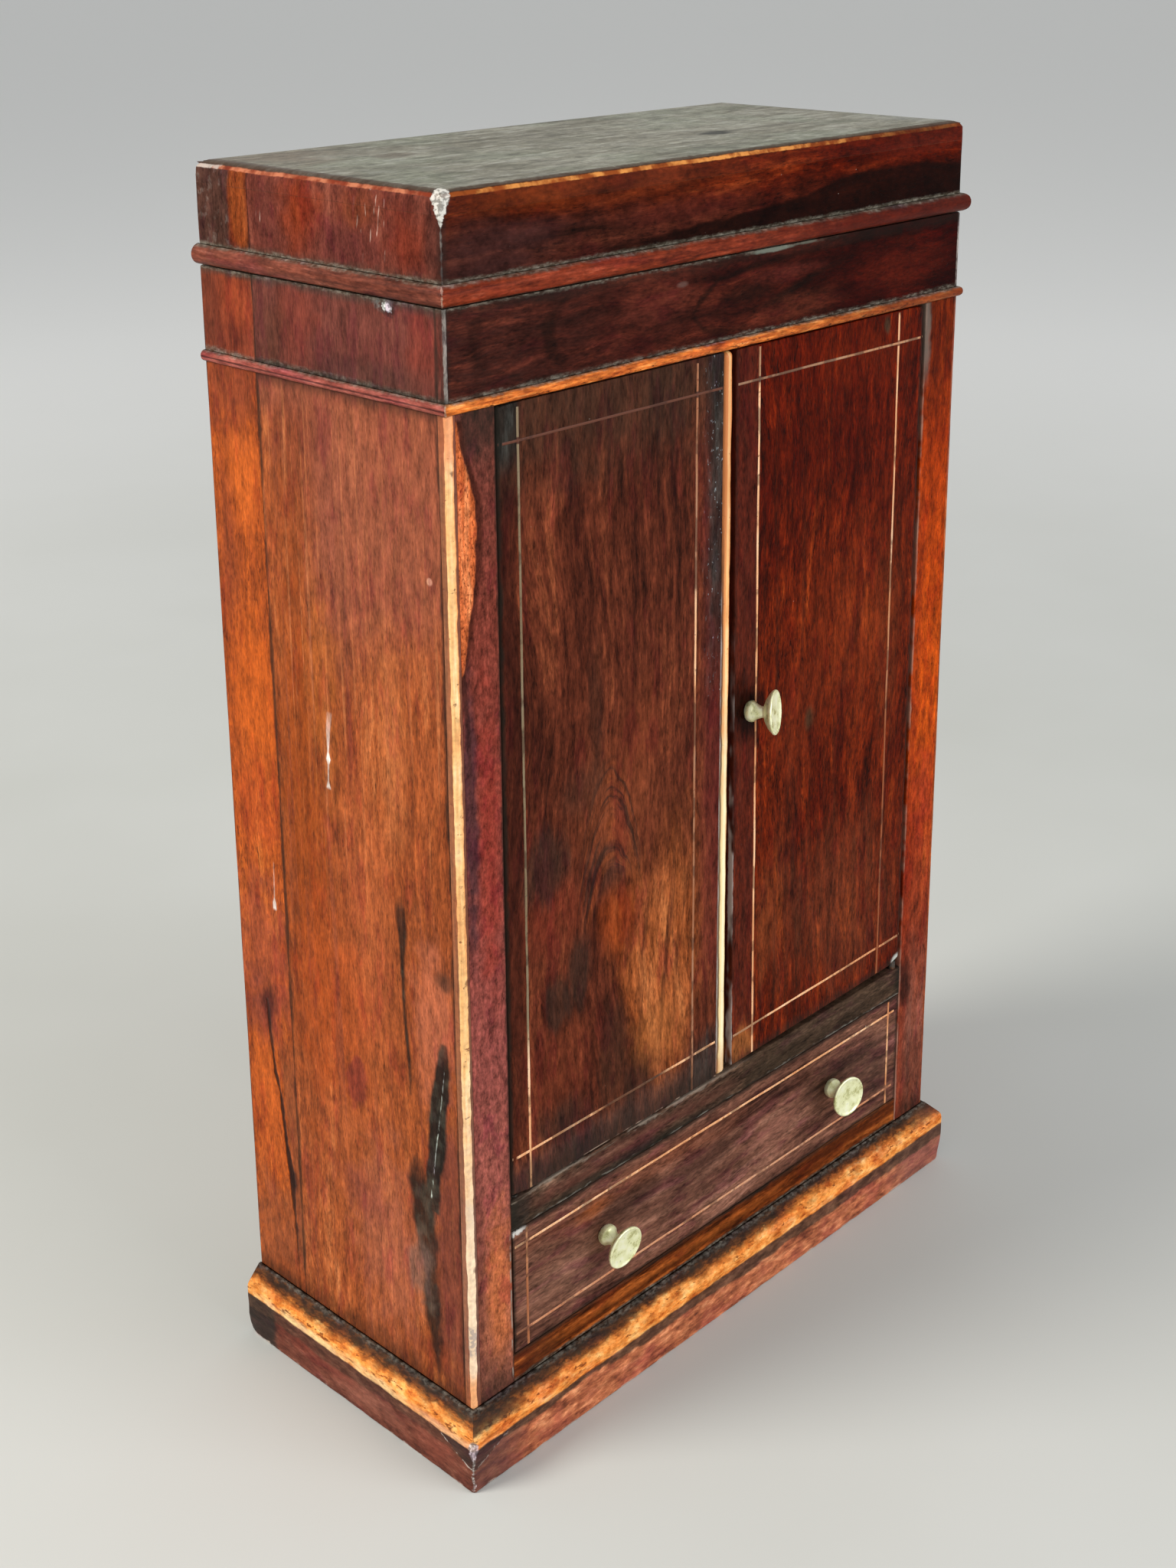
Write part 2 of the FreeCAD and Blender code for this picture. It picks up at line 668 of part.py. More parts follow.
def drawer():
    outer = STILE_IN - D.drawer_side_gap
    inner = outer - D.drawer_side_thickness
    bottom = DRAWER_FLOOR + D.drawer_play
    top = DRAWER_CEILING - D.drawer_play
    front_back = FRONT + D.drawer_front_thickness
    rear = FRONT + D.drawer_length
    side_top = bottom + D.drawer_side_height
    tray_under = bottom + D.drawer_bottom_rise
    tray_top = tray_under + D.drawer_bottom_thickness
    reach = inner + D.drawer_groove
    depth = (front_back - D.drawer_groove, rear)
    floor = board("drawer_floor", (-reach, reach), depth, (tray_under, tray_top))
    node(floor, "drawer_bottom")
    face = board("drawer_face", (-outer, outer), (FRONT, front_back), (bottom, top))
    lines = crossed_lines(
        "drawer_stringing", face, (-outer, outer), (bottom, top),
        (-(outer - D.drawer_line_side), outer - D.drawer_line_side),
        (bottom + D.drawer_line_bottom, top - D.drawer_line_top),
    )
    handles = [
        knob("drawer_knob_left", -D.drawer_knob_spread, D.drawer_knob_height),
        knob("drawer_knob_right", D.drawer_knob_spread, D.drawer_knob_height),
    ]
    node(cut("drawer_front_cut", face, [floor, lines] + handles), "drawer_front")
    run = (front_back, rear), (bottom, side_top)
    left = board("drawer_left_board", (-outer, -inner), *run)
    right = board("drawer_right_board", (inner, outer), *run)
    node(cut("drawer_left_cut", left, [floor]), "drawer_left_side")
    node(cut("drawer_right_cut", right, [floor]), "drawer_right_side")
    back = board("drawer_rear", (-inner, inner), (rear - D.drawer_side_thickness, rear), (tray_top, side_top))
    node(back, "drawer_back")


# --------------------------------------------------------------------------- lid

def lid():
    """Four walls under a top with rounded edges; the bead round its lower edge is a moulding."""
    top_under = LID_PEAK - D.lid_top_thickness
    high = (LID_BASE, top_under)
    across = (-HALF, HALF)
    between = (FRONT + D.lid_wall, BACK - D.lid_wall)
    node(board("lid_front_board", across, (FRONT, FRONT + D.lid_wall), high), "lid_front")
    node(board("lid_left_board", (-HALF, -HALF + D.lid_wall), between, high), "lid_left")
    node(board("lid_right_board", (HALF - D.lid_wall, HALF), between, high), "lid_right")
    rear = board("lid_back_board", across, (BACK - D.lid_wall, BACK), high)
    recesses = [hinge_recess("lid", side, HINGE_AXIS + D.hinge_leaf_play, 1) for side in (-1, 1)]
    node(cut("lid_back_cut", rear, recesses + [LID_SCREWS]), "lid_back")
    top = padded("lid_top_body", "XY_Plane", rectangle(across, (FRONT, BACK)), D.lid_top_thickness)
    upright = FreeCAD.Vector(0, 0, 1)
    rounded(top, "lid_corners", D.lid_corner_round, lambda edge: along(edge, upright))
    peak = D.lid_top_thickness.value
    rounded(top, "lid_top_edges", D.lid_top_round,
            lambda edge: all(abs(vertex.Z - peak) < 1e-6 for vertex in edge.Vertexes))
    node(place(top, 0, 0, top_under), "lid_top")


# --------------------------------------------------------------------------- lid hinges

def hinge_span(side):
    """The left and right ends of the hinge on one side, -1 or 1."""
    centre = D.hinge_spread * side
    return centre - D.hinge_length / 2, centre + D.hinge_length / 2


def side_name(side):
    return "left" if side < 0 else "right"


def hinge_recess(owner, side, face, up):
    """The shallow bed of a hinge leaf; up is 1 in the lid and -1 in the case."""
    other = face + D.hinge_leaf_thickness * up
    z = (face, other) if up > 0 else (other, face)
    return board(f"{owner}_{side_name(side)}_bed", hinge_span(side), (BACK - D.hinge_leaf_width, BACK), z)


def hinge_leaf(owner, side, up, knuckles):
    """A leaf let into the edge, with a tab and a knuckle at each of the given stretches along X."""
    name = f"{owner}_{side_name(side)}_leaf"
    axis_y = BACK + D.knuckle_offset
    face = HINGE_AXIS + D.hinge_leaf_play * up
    other = face + D.hinge_leaf_thickness * up
    z = (face, other) if up > 0 else (other, face)
    pieces = [board(name + "_plate", hinge_span(side), (BACK - D.hinge_leaf_width, BACK), z)]
    sideways = FreeCAD.Rotation(FreeCAD.Vector(0, 1, 0), 90)
    for number, (low, high) in enumerate(knuckles):
        pieces.append(board(f"{name}_tab_{number}", (low, high), (BACK, axis_y), z))
        pieces.append(
            rod(f"{name}_knuckle_{number}", D.knuckle_radius, high - low, low, axis_y, HINGE_AXIS, sideways)
        )
    bore = D.hinge_pin_radius + (D.running_clearance if up > 0 else 0)
    start = hinge_span(side)[0]
    hole = rod(name + "_bore", bore, D.hinge_length, start, axis_y, HINGE_AXIS, sideways)
    screws = LID_SCREWS if up > 0 else CASE_SCREWS
    return cut(name, fuse(name + "_blank", pieces), [hole, screws])


def hinge_screws(owner, up):
    """Two countersunk screws for each leaf, with their heads flush with its face."""
    face = HINGE_AXIS + D.hinge_leaf_play * up
    turn = FreeCAD.Rotation(FreeCAD.Vector(1, 0, 0), 0 if up > 0 else 180)
    y = BACK - D.screw_from_back
    screws = []
    for number, (side, shift) in enumerate((s, t) for s in (-1, 1) for t in (-1, 1)):
        x = D.hinge_spread * side + D.screw_spread * shift
        name = f"{owner}_screw_{number}"
        head = DOC.addObject("Part::Cone", name + "_head")
        bind(head, "Radius1", D.screw_head_radius)
        bind(head, "Radius2", D.screw_shank_radius)
        bind(head, "Height", D.screw_head_depth)
        place(head, x, y, face, turn)
        shank = rod(name + "_shank", D.screw_shank_radius, D.screw_length, x, y, face, turn)
        screws.append(fuse(name, [head, shank]))
    return group(owner + "_screws", screws)


def hinges():
    """Two butt hinges on the back: two case knuckles round one lid knuckle, on a fixed pin."""
    sideways = FreeCAD.Rotation(FreeCAD.Vector(0, 1, 0), 90)
    case_leaves, lid_leaves, pins = [], [], []
    for side in (-1, 1):
        low, high = hinge_span(side)
        outer = [(low, low + D.knuckle_length), (high - D.knuckle_length, high)]
        inner_low = low + D.knuckle_length + D.knuckle_play
        inner = [(inner_low, high - D.knuckle_length - D.knuckle_play)]
        case_leaves.append(hinge_leaf("case", side, -1, outer))
        lid_leaves.append(hinge_leaf("lid", side, 1, inner))
        pin_y = BACK + D.knuckle_offset
        pin_name = side_name(side) + "_hinge_pin"
        pins.append(rod(pin_name, D.hinge_pin_radius, D.hinge_length, low, pin_y, HINGE_AXIS, sideways))
    node(group("case_leaf_pair", case_leaves), "hinge_case_leaves")
    node(group("lid_leaf_pair", lid_leaves), "hinge_lid_leaves")
    node(group("hinge_pin_pair", pins), "hinge_pins")


# --------------------------------------------------------------------------- build, check, write

def check():
    """Stop if any object failed to recompute, or any sub-part is empty or not a valid solid."""
    for thing in DOC.Objects:
        if "Invalid" in thing.State or "Error" in thing.State:
            raise RuntimeError(f"{thing.Label} failed: {thing.State}")
    for thing in NODES:
        if thing.Shape.isNull() or not thing.Shape.isValid() or not thing.Shape.Solids:
            raise RuntimeError(f"{thing.Label} has no valid solid")


def write():
    os.makedirs(PARTS_FOLDER, exist_ok=True)
    for thing in NODES:
        thing.Shape.exportStep(os.path.join(PARTS_FOLDER, thing.Label + ".step"))


PIVOTS = pivots()
CASE_SCREWS = node(hinge_screws("case", -1), "hinge_case_screws")
LID_SCREWS = node(hinge_screws("lid", 1), "hinge_lid_screws")

sides()
front_frame()
inner_boards()
drawer_supports()
door_stops()
mouldings()
left_door()
right_door()
drawer()
lid()
hinges()

DOC.recompute()
check()
write()
print(len(NODES), "sub-parts written")
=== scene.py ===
"""The looks of the small rosewood table cabinet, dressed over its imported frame.

Sizes and places are worked out in millimetres from the frame's own boxes; meshes are made in metres.
Materials read each piece's own coordinates, so they stay put when a door, the drawer or the lid moves.
"""

import math

import bpy
import numpy as np
from mathutils import Matrix, Quaternion, Vector, noise


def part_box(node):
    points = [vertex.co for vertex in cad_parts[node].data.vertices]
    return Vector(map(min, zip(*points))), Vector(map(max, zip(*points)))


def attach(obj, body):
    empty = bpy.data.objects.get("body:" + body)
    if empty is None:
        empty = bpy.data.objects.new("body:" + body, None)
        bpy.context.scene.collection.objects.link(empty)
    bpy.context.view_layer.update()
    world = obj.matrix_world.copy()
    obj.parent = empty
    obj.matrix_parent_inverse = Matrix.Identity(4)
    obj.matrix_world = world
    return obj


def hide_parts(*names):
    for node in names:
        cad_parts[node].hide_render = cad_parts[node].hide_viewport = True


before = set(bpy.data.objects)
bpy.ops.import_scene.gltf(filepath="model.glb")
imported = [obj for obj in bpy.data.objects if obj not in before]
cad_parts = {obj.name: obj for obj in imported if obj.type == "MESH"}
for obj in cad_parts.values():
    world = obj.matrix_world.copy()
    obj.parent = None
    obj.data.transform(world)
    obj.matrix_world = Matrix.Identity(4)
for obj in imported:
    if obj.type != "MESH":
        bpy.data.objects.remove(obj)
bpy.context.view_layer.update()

MM = 0.001


def span(node):
    """Lowest and highest corner of a CAD node, in millimetres."""
    low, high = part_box(node)
    return np.array(low) / MM, np.array(high) / MM


# --------------------------------------------------------------------------- places, from the frame

case_low, case_high = span("left_side_veneer")[0], span("right_side_veneer")[1]
HALF = case_high[0]
FRONT = case_low[1]
BACK = span("right_back_leaf")[1][1]
LEAF_JOINT = span("left_back_leaf")[0][1]
STRIP_BACK = span("corner_stringing")[1][1]
STRIP_RIGHT = span("corner_stringing")[1][0]
PLINTH_TOP = span("plinth_front")[1][2]
THIN_LOW, THIN_HIGH = (corner[2] for corner in span("thin_bead_front"))
RIM = span("frieze_front")[1][2]
LID_LOW = span("lid_front")[0][2]
LID_PEAK = span("lid_top")[1][2]
WIDE_HIGH = span("lid_bead_front")[1][2]

PLINTH_REACH, THIN_REACH, WIDE_REACH = (
    FRONT - span(name)[0][1] for name in ("plinth_front", "thin_bead_front", "lid_bead_front"))

# The plinth's upright face ends here, and its slope leaves a small ledge against the case.
PLINTH_FACE = 15.6
PLINTH_LEDGE = 0.8

# The doors' and the drawer's boxwood lines: distance of each line's middle from the panel's edge.
LINE_WIDTH = 0.8
LINES = {
    "left_door": {"upright": (6.9, -10.4), "level": (11.2, -9.2)},
    "right_door": {"upright": (9.4, -12.6), "level": (9.1, -9.2)},
    "drawer": {"upright": (5.0, -5.0), "level": (5.6, -4.8)},
}

# How far each knob leans, in degrees: turned to the right, tipped up, and its head turned beyond its shank.
KNOBS = {
    "door_knob": ("right_door", (6.6, 185.2), (18.0, 5.0, 8.0)),
    "drawer_knob_left": ("drawer", (-50.2, 48.6), (0.0, -7.0, 0.0)),
    "drawer_knob_right": ("drawer", (50.2, 48.6), (-7.0, 2.0, 0.0)),
}

# The right door has warped: its meeting edge stands proud, more at the foot than at the top.
WARP_TOP = 0.3
WARP_FOOT = 1.8


# --------------------------------------------------------------------------- meshes

def rough(points, scale, seed):
    """Smooth noise between about -1 and 1 at each point, with features about scale millimetres across."""
    shift = Vector((seed * 7.31, seed * 3.17, seed * 5.77))
    return np.array([noise.noise(Vector(p) / scale + shift) for p in points])


def smooth(x):
    x = np.clip(x, 0, 1)
    return x * x * (3 - 2 * x)


def piece(name, body, material, verts, faces, slot):
    """A finished mesh piece: shaded smoothly, riding on its body and standing for the CAD node of its name."""
    mesh = bpy.data.meshes.new(name)
    mesh.from_pydata((np.asarray(verts) * MM).tolist(), [], [tuple(map(int, f)) for f in faces])
    mesh.validate()
    mesh.polygons.foreach_set("use_smooth", [True] * len(mesh.polygons))
    obj = bpy.data.objects.new(name, mesh)
    bpy.context.scene.collection.objects.link(obj)
    mesh.materials.append(material)
    normals = obj.modifiers.new("even_shading", "WEIGHTED_NORMAL")
    normals.mode = "FACE_AREA"
    normals.weight = 90
    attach(obj, body)
    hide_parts(name)
    return obj


def cuts(low, high, step, margins, extra=()):
    """Places of the cuts along one side: close together near both ends, about a step apart between."""
    reach = [m for m in margins if m < (high - low) * 0.45]
    count = max(1, round((high - low - 2 * reach[-1]) / step))
    middle = np.linspace(low + reach[-1], high - reach[-1], count + 1)
    places = [low + m for m in reach[:-1]] + list(middle) + [high - m for m in reach[:-1]] + list(extra)
    places = np.array(sorted(places))
    return places[np.r_[True, np.diff(places) > 0.02]]


class Board:
    """A board with softened arrises that vary along their length, and faces that aren't quite flat.

    arrises gives chosen edges their own radius, as {("x-", "y-"): 1.6}. dents are (centre, reach, depth).
    joined names the sides where the next board carries on without a break, and crown the sides whose upper
    edge is rounded over, with its radius. extra gives more cuts along x, y and z. warp gives how far the board
    is moved along y at each (x, z).
    """

    def __init__(self, low, high, step=5.0, radius=0.2, arrises=None, ripple=0.05, seed=0.0,
                 dents=(), extra=((), (), ()), warp=None, margins=(0, 0.09, 0.22, 0.45, 0.8), joined=(),
                 crown=None):
        self.low, self.high = np.array(low, float), np.array(high, float)
        self.radius, self.arrises, self.ripple, self.seed = radius, arrises or {}, ripple, seed
        self.dents, self.warp, self.crown = dents, warp, crown or {}
        self.inner, self.outer = self.low.copy(), self.high.copy()
        beyond = 10.0
        for side in joined:
            core, way = (self.inner, -1) if side[1] == "-" else (self.outer, 1)
            core["xyz".index(side[0])] += way * beyond
        largest = max([radius, *self.arrises.values(), *self.crown.values()])
        if largest > 1:
            margins = tuple(largest * m for m in (0, 0.06, 0.16, 0.3, 0.48, 0.7, 0.9, 1.1))
        self.cuts = [cuts(self.low[i], self.high[i], step, margins, extra[i]) for i in range(3)]

    def radii(self, points):
        """The radius that each point of the surface is rounded by."""
        base = np.full(len(points), self.radius)
        for sides, radius in self.arrises.items():
            gap = np.zeros(len(points))
            for side in sides:
                axis = "xyz".index(side[0])
                wall = self.low[axis] if side[1] == "-" else self.high[axis]
                gap = np.maximum(gap, abs(points[:, axis] - wall))
            near = smooth((1.7 - gap / radius) / 0.6)
            base = base + (radius - base) * near
        wear = 1 + 0.3 * rough(points, 9.0, self.seed + 1) + 0.25 * np.maximum(rough(points, 2.6, self.seed + 2), 0)
        room = (self.high - self.low).min() * 0.49
        return np.minimum(base * wear, room)

    def face_lift(self, points):
        return self.ripple * rough(points, 28.0, self.seed + 3)

    def crowned(self, points):
        """How far the rounding of the upper edges draws each point in and down."""
        shift, drop = np.zeros_like(points), np.zeros(len(points))
        for side, radius in self.crown.items():
            axis = "xyz".index(side[0])
            wall, inward = (self.low[axis], 1) if side[1] == "-" else (self.high[axis], -1)
            level = np.maximum(radius - abs(points[:, axis] - wall), 0)
            upright = np.maximum(radius - (self.high[2] - points[:, 2]), 0)
            length = np.hypot(level, upright)
            over = 1 - np.where((level > 0) & (upright > 0), np.minimum(1, radius / np.maximum(length, 1e-9)), 1)
            shift[:, axis] += inward * level * over
            drop = np.maximum(drop, upright * over)
        shift[:, 2] -= drop
        return shift

    def shaped(self, points):
        radius = self.radii(points)[:, None]
        core = np.clip(points, self.inner + radius, self.outer - radius)
        out = points - core
        length = np.linalg.norm(out, axis=1, keepdims=True)
        normal = out / np.maximum(length, 1e-9)
        moved = core + normal * radius
        moved = moved + normal * self.face_lift(points)[:, None]
        if self.crown:
            moved = moved + self.crowned(points)
        for centre, reach, depth in self.dents:
            gap = np.linalg.norm((moved - np.array(centre)) / np.array(reach), axis=1)
            bite = depth * smooth(1 - gap) * (0.75 + 0.5 * rough(moved, 1.3, self.seed + 5))
            moved = moved - normal * np.maximum(bite, 0)[:, None]
        if self.warp:
            moved[:, 1] += self.warp(moved[:, 0], moved[:, 2])
        return moved

    def front(self, x, z):
        """Where the front face lies at each (x, z), for what is let into it or stands on it."""
        x, z = np.asarray(x, float), np.asarray(z, float)
        points = np.stack([x, np.full_like(x, self.low[1]), z], axis=1)
        y = self.low[1] - self.face_lift(points)
        for side, wall in (("x-", self.low[0]), ("x+", self.high[0])):
            radius = self.arrises.get((side, "y-"), self.radius)
            into = np.clip(radius - abs(x - wall), 0, radius)
            y = y + radius - np.sqrt(np.maximum(radius**2 - into**2, 0))
        return y + (self.warp(x, z) if self.warp else 0)

    def mesh(self):
        shape = tuple(len(c) for c in self.cuts)
        i, j, k = np.meshgrid(*[np.arange(n) for n in shape], indexing="ij")
        on = (i == 0) | (i == shape[0] - 1) | (j == 0) | (j == shape[1] - 1) | (k == 0) | (k == shape[2] - 1)
        index = np.full(shape, -1)
        index[on] = np.arange(on.sum())
        flat = np.stack([self.cuts[0][i[on]], self.cuts[1][j[on]], self.cuts[2][k[on]]], axis=1)
        faces = []
        for axis in range(3):
            for end in (0, shape[axis] - 1):
                sheet = np.take(index, end, axis=axis)
                a, b, c, d = sheet[:-1, :-1], sheet[1:, :-1], sheet[1:, 1:], sheet[:-1, 1:]
                quads = np.stack([a, b, c, d], axis=-1).reshape(-1, 4)
                turned = (end > 0) == (axis == 1)
                faces.extend(quads[:, ::-1] if turned else quads)
        return self.shaped(flat), faces


def add_board(name, body, material, board, slot):
    return piece(name, body, material, *board.mesh(), slot)


def skin(rings, closed_ends=True):
    """Quads between rings of points, each ring closed on itself, with the two ends capped."""
    rings = np.asarray(rings)
    count, size = rings.shape[:2]
    faces = []
    for r in range(count - 1):
        for s in range(size):
            t = (s + 1) % size
            faces.append((r * size + s, r * size + t, (r + 1) * size + t, (r + 1) * size + s))
    if closed_ends:
        faces.append(tuple(range(size))[::-1])
        faces.append(tuple(range((count - 1) * size, count * size)))
    return rings.reshape(-1, 3), faces


def moulding(name, section, side, seed, material, slot, nicks, corner, waver, dents):
    """A moulding on the front or a side of the case, mitred at the front corners.

    section is (outward, height) points from the foot of the wall round to its top; the wall closes it. seed
    varies its nicks, corner rounds the mitre's arris, waver is how uneven it is and dents are (centre, size,
    depth).
    """
    section = np.array(section, float)
    out, height = section[:, 0], section[:, 1]
    reach = out.max()
    long = HALF + reach if side == "front" else (BACK - FRONT + reach) / 2
    stations = cuts(-long, long, 2.2, (0, 0.12, 0.3, 0.6, 1.0))
    rings = []
    for s in stations:
        to_mitre = long - abs(s) if side == "front" else s + long
        round_off = corner * max(0.0, 1 - to_mitre / corner / 1.6) ** 2
        probe = np.stack([np.full(len(out), s), out, height], axis=1)
        free = smooth(np.array([to_mitre / 4]))[0] * (out > 0.01)
        bumps = waver * noise.noise(Vector((s / 24, seed, 0.5))) * (out / reach)
        chips = np.maximum(rough(probe, 1.7, seed + 4) - 0.25, 0) * nicks * 3 + rough(probe, 7.0, seed) * nicks * 0.5
        pushed = np.maximum(out - round_off * (out / reach) + free * (bumps - chips), 0)
        if side == "front":
            along = np.sign(s) * np.minimum(abs(s), HALF + pushed) if to_mitre < reach * 1.2 else np.full(len(out), s)
            ring = np.stack([along, FRONT - pushed, height], axis=1)
        else:
            y = FRONT - reach + to_mitre
            y = np.maximum(y, FRONT - pushed) if to_mitre < reach * 1.2 else np.full(len(out), y)
            x = HALF + pushed
            ring = np.stack([-x if side == "left" else x, y, height], axis=1)
        rings.append(ring)
    rings = np.array(rings)
    for centre, size, depth in dents:
        gap = np.linalg.norm((rings - np.array(centre)) / np.array(size), axis=2)
        inward = np.array(centre) * [1, 1, 0] / np.linalg.norm(np.array(centre[:2]))
        rings = rings - inward * (depth * smooth(1 - gap))[..., None]
    if side == "left":
        rings = rings[::-1]
    verts, faces = skin(rings)
    return piece(name, "carcass" if "lid" not in name else "lid", material, verts, faces, slot)


def ribbon(path, width, proud, sunk, seed):
    """A thin flat strip along a path: rings of four points, from one side of the line to the other."""
    path = np.asarray(path)
    run = path[-1] - path[0]
    across = np.array([run[2], 0, -run[0]]) / np.linalg.norm(run)
    wide = width / 2 * (1 + 0.16 * rough(path, 3.1, seed) + 0.1 * rough(path, 0.9, seed + 1))
    drift = 0.1 * rough(path, 11.0, seed + 2)
    rings = []
    for point, half, shift in zip(path, wide, drift):
        middle = point + across * shift
        top, foot = np.array([0, -proud, 0]), np.array([0, sunk, 0])
        rings.append([middle - across * half + foot, middle - across * (half - 0.05) + top,
                      middle + across * (half - 0.05) + top, middle + across * half + foot])
    return rings


def stringing(name, body, board, lines, material, seed):
    """The boxwood lines of one panel: two upright and two level, following the panel's own surface."""
    low, high = board.low, board.high
    verts, faces = [], []
    runs = []
    for at in lines["upright"]:
        x = (low if at > 0 else high)[0] + at
        z = np.arange(low[2] + 0.35, high[2] - 0.3, 1.5)
        runs.append((np.full(len(z), x), z, 0.07))
    for at in lines["level"]:
        z = (low if at > 0 else high)[2] + at
        x = np.arange(low[0] + 0.7, high[0] - 0.6, 1.5)
        runs.append((x, np.full(len(x), z), 0.055))
    for number, (x, z, proud) in enumerate(runs):
        path = np.stack([x, board.front(x, z), z], axis=1)
        strip_verts, strip_faces = skin(ribbon(path, LINE_WIDTH, proud, 0.3, seed + number))
        faces += [tuple(v + len(verts) for v in face) for face in strip_faces]
        verts += list(strip_verts)
    return piece(name, body, material, verts, faces, "boxwood_line")


def arc(start, end, radius, bulge, count):
    """Points after start on the short arc to end, bulging to the left of the way for a bulge of 1."""
    start, end = np.array(start, float), np.array(end, float)
    chord = end - start
    half = np.linalg.norm(chord) / 2
    left = np.array([-chord[1], chord[0]]) / (2 * half)
    centre = (start + end) / 2 - left * bulge * math.sqrt(max(radius**2 - half**2, 0))
    first = math.atan2(*(start - centre)[::-1])
    turn = (math.atan2(*(end - centre)[::-1]) - first + math.pi) % (2 * math.pi) - math.pi
    return [tuple(centre + radius * np.array([math.cos(first + turn * t), math.sin(first + turn * t)]))
            for t in np.linspace(0, 1, count + 1)[1:]]


def knob_profile():
    """The knob's section as (radius, distance out from the wood), from its face round to its shank."""
    rim_back, rim_front = -7.7, -8.3
    profile = [(0.0, rim_front + 0.45)]
    profile += arc((0.0, rim_front + 0.45), (5.4, rim_front + 0.2), 58.0, 1, 9)
    profile += [(5.55, rim_front + 0.07), (5.75, rim_front), (5.95, rim_front), (6.1, rim_front + 0.08),
                (6.2, rim_front + 0.3), (6.17, rim_back)]
    profile += arc((6.17, rim_back), (1.5, -5.0), 8.0, -1, 10)
    profile += arc((1.5, -5.0), (2.9, -1.9), 5.0, 1, 8)
    profile += [(2.95, -1.6)] + arc((2.95, -1.6), (2.42, 0.0), 1.9, -1, 5)
    profile += [(1.1, 0.1), (1.1, 4.6)]
    return profile


def turned_knob(name, body, place, lean, board, material, seed):
    """A turned brass knob, a little out of round and dented, leaning as in CAD and its head turned further."""
    around = 72
    turn, tip, bend = (math.radians(angle) for angle in lean)
    neck = Vector((0, -4.0, 0))
    pose = Quaternion((0, 0, 1), turn).to_matrix() @ Quaternion((1, 0, 0), -tip).to_matrix()
    foot = Vector((place[0], float(board.front([place[0]], [place[1]])[0]), place[1]))
    rings = []
    for radius, out in knob_profile():
        ring = []
        for step in range(around):
            angle = 2 * math.pi * step / around
            spot = Vector((math.cos(angle) * radius, out, math.sin(angle) * radius))
            wobble = 1 + 0.012 * noise.noise(spot / 3.0 + Vector((seed, 0, 0)))
            dent = 0.05 * noise.noise(spot / 1.4 + Vector((0, seed, 0))) * min(1, radius / 3)
            local = Vector((spot.x * wobble, spot.y + dent, spot.z * wobble))
            more = Matrix.Rotation(bend * float(smooth((-2.6 - out) / 3.0)), 3, "Z")
            ring.append(pose @ (more @ (local - neck) + neck) + foot)
        rings.append(ring)
    verts, faces = skin(rings, closed_ends=False)
    last = (len(rings) - 1) * around
    faces.append(tuple(range(last, last + around)))
    return piece(name, body, material, verts, faces, "knob_brass")


# --------------------------------------------------------------------------- materials

def colour(red, green, blue):
    """A colour written as it looks on screen, from 0 to 255, as linear light."""
    linear = [c / 12.92 if c <= 0.04045 else ((c + 0.055) / 1.055) ** 2.4
              for c in (red / 255, green / 255, blue / 255)]
    return (*linear, 1.0)


def operation(name, swapped=False):
    """A method that adds a math node of this name; swapped is for a plain number on its left."""
    def apply(self, other):
        return self.net.math(name, *((other, self) if swapped else (self, other)))
    return apply


class Wire:
    """A value in a material's node tree, with arithmetic that adds the nodes it needs."""

    __add__, __radd__ = operation("ADD"), operation("ADD", True)
    __sub__, __rsub__ = operation("SUBTRACT"), operation("SUBTRACT", True)
    __mul__, __rmul__ = operation("MULTIPLY"), operation("MULTIPLY", True)
    __truediv__, least, most = operation("DIVIDE"), operation("MINIMUM"), operation("MAXIMUM")

    def __init__(self, net, socket):
        self.net, self.socket = net, socket

    def abs(self):
        return self.net.math("ABSOLUTE", self)

    def step(self, start, end):
        """0 at start and 1 at end, smoothly between; start may be the larger."""
        if start < end:
            return self.net.ramp(self, start, end)
        return 1.0 - self.net.ramp(self, end, start)

    def gap(self, place):
        """Distance from a place along this axis."""
        return (self - place).abs()

    def waver(self, noise, reach):
        """This value, moved by a noise about 0.5: up to half of reach either way."""
        return self + (noise - 0.5) * reach


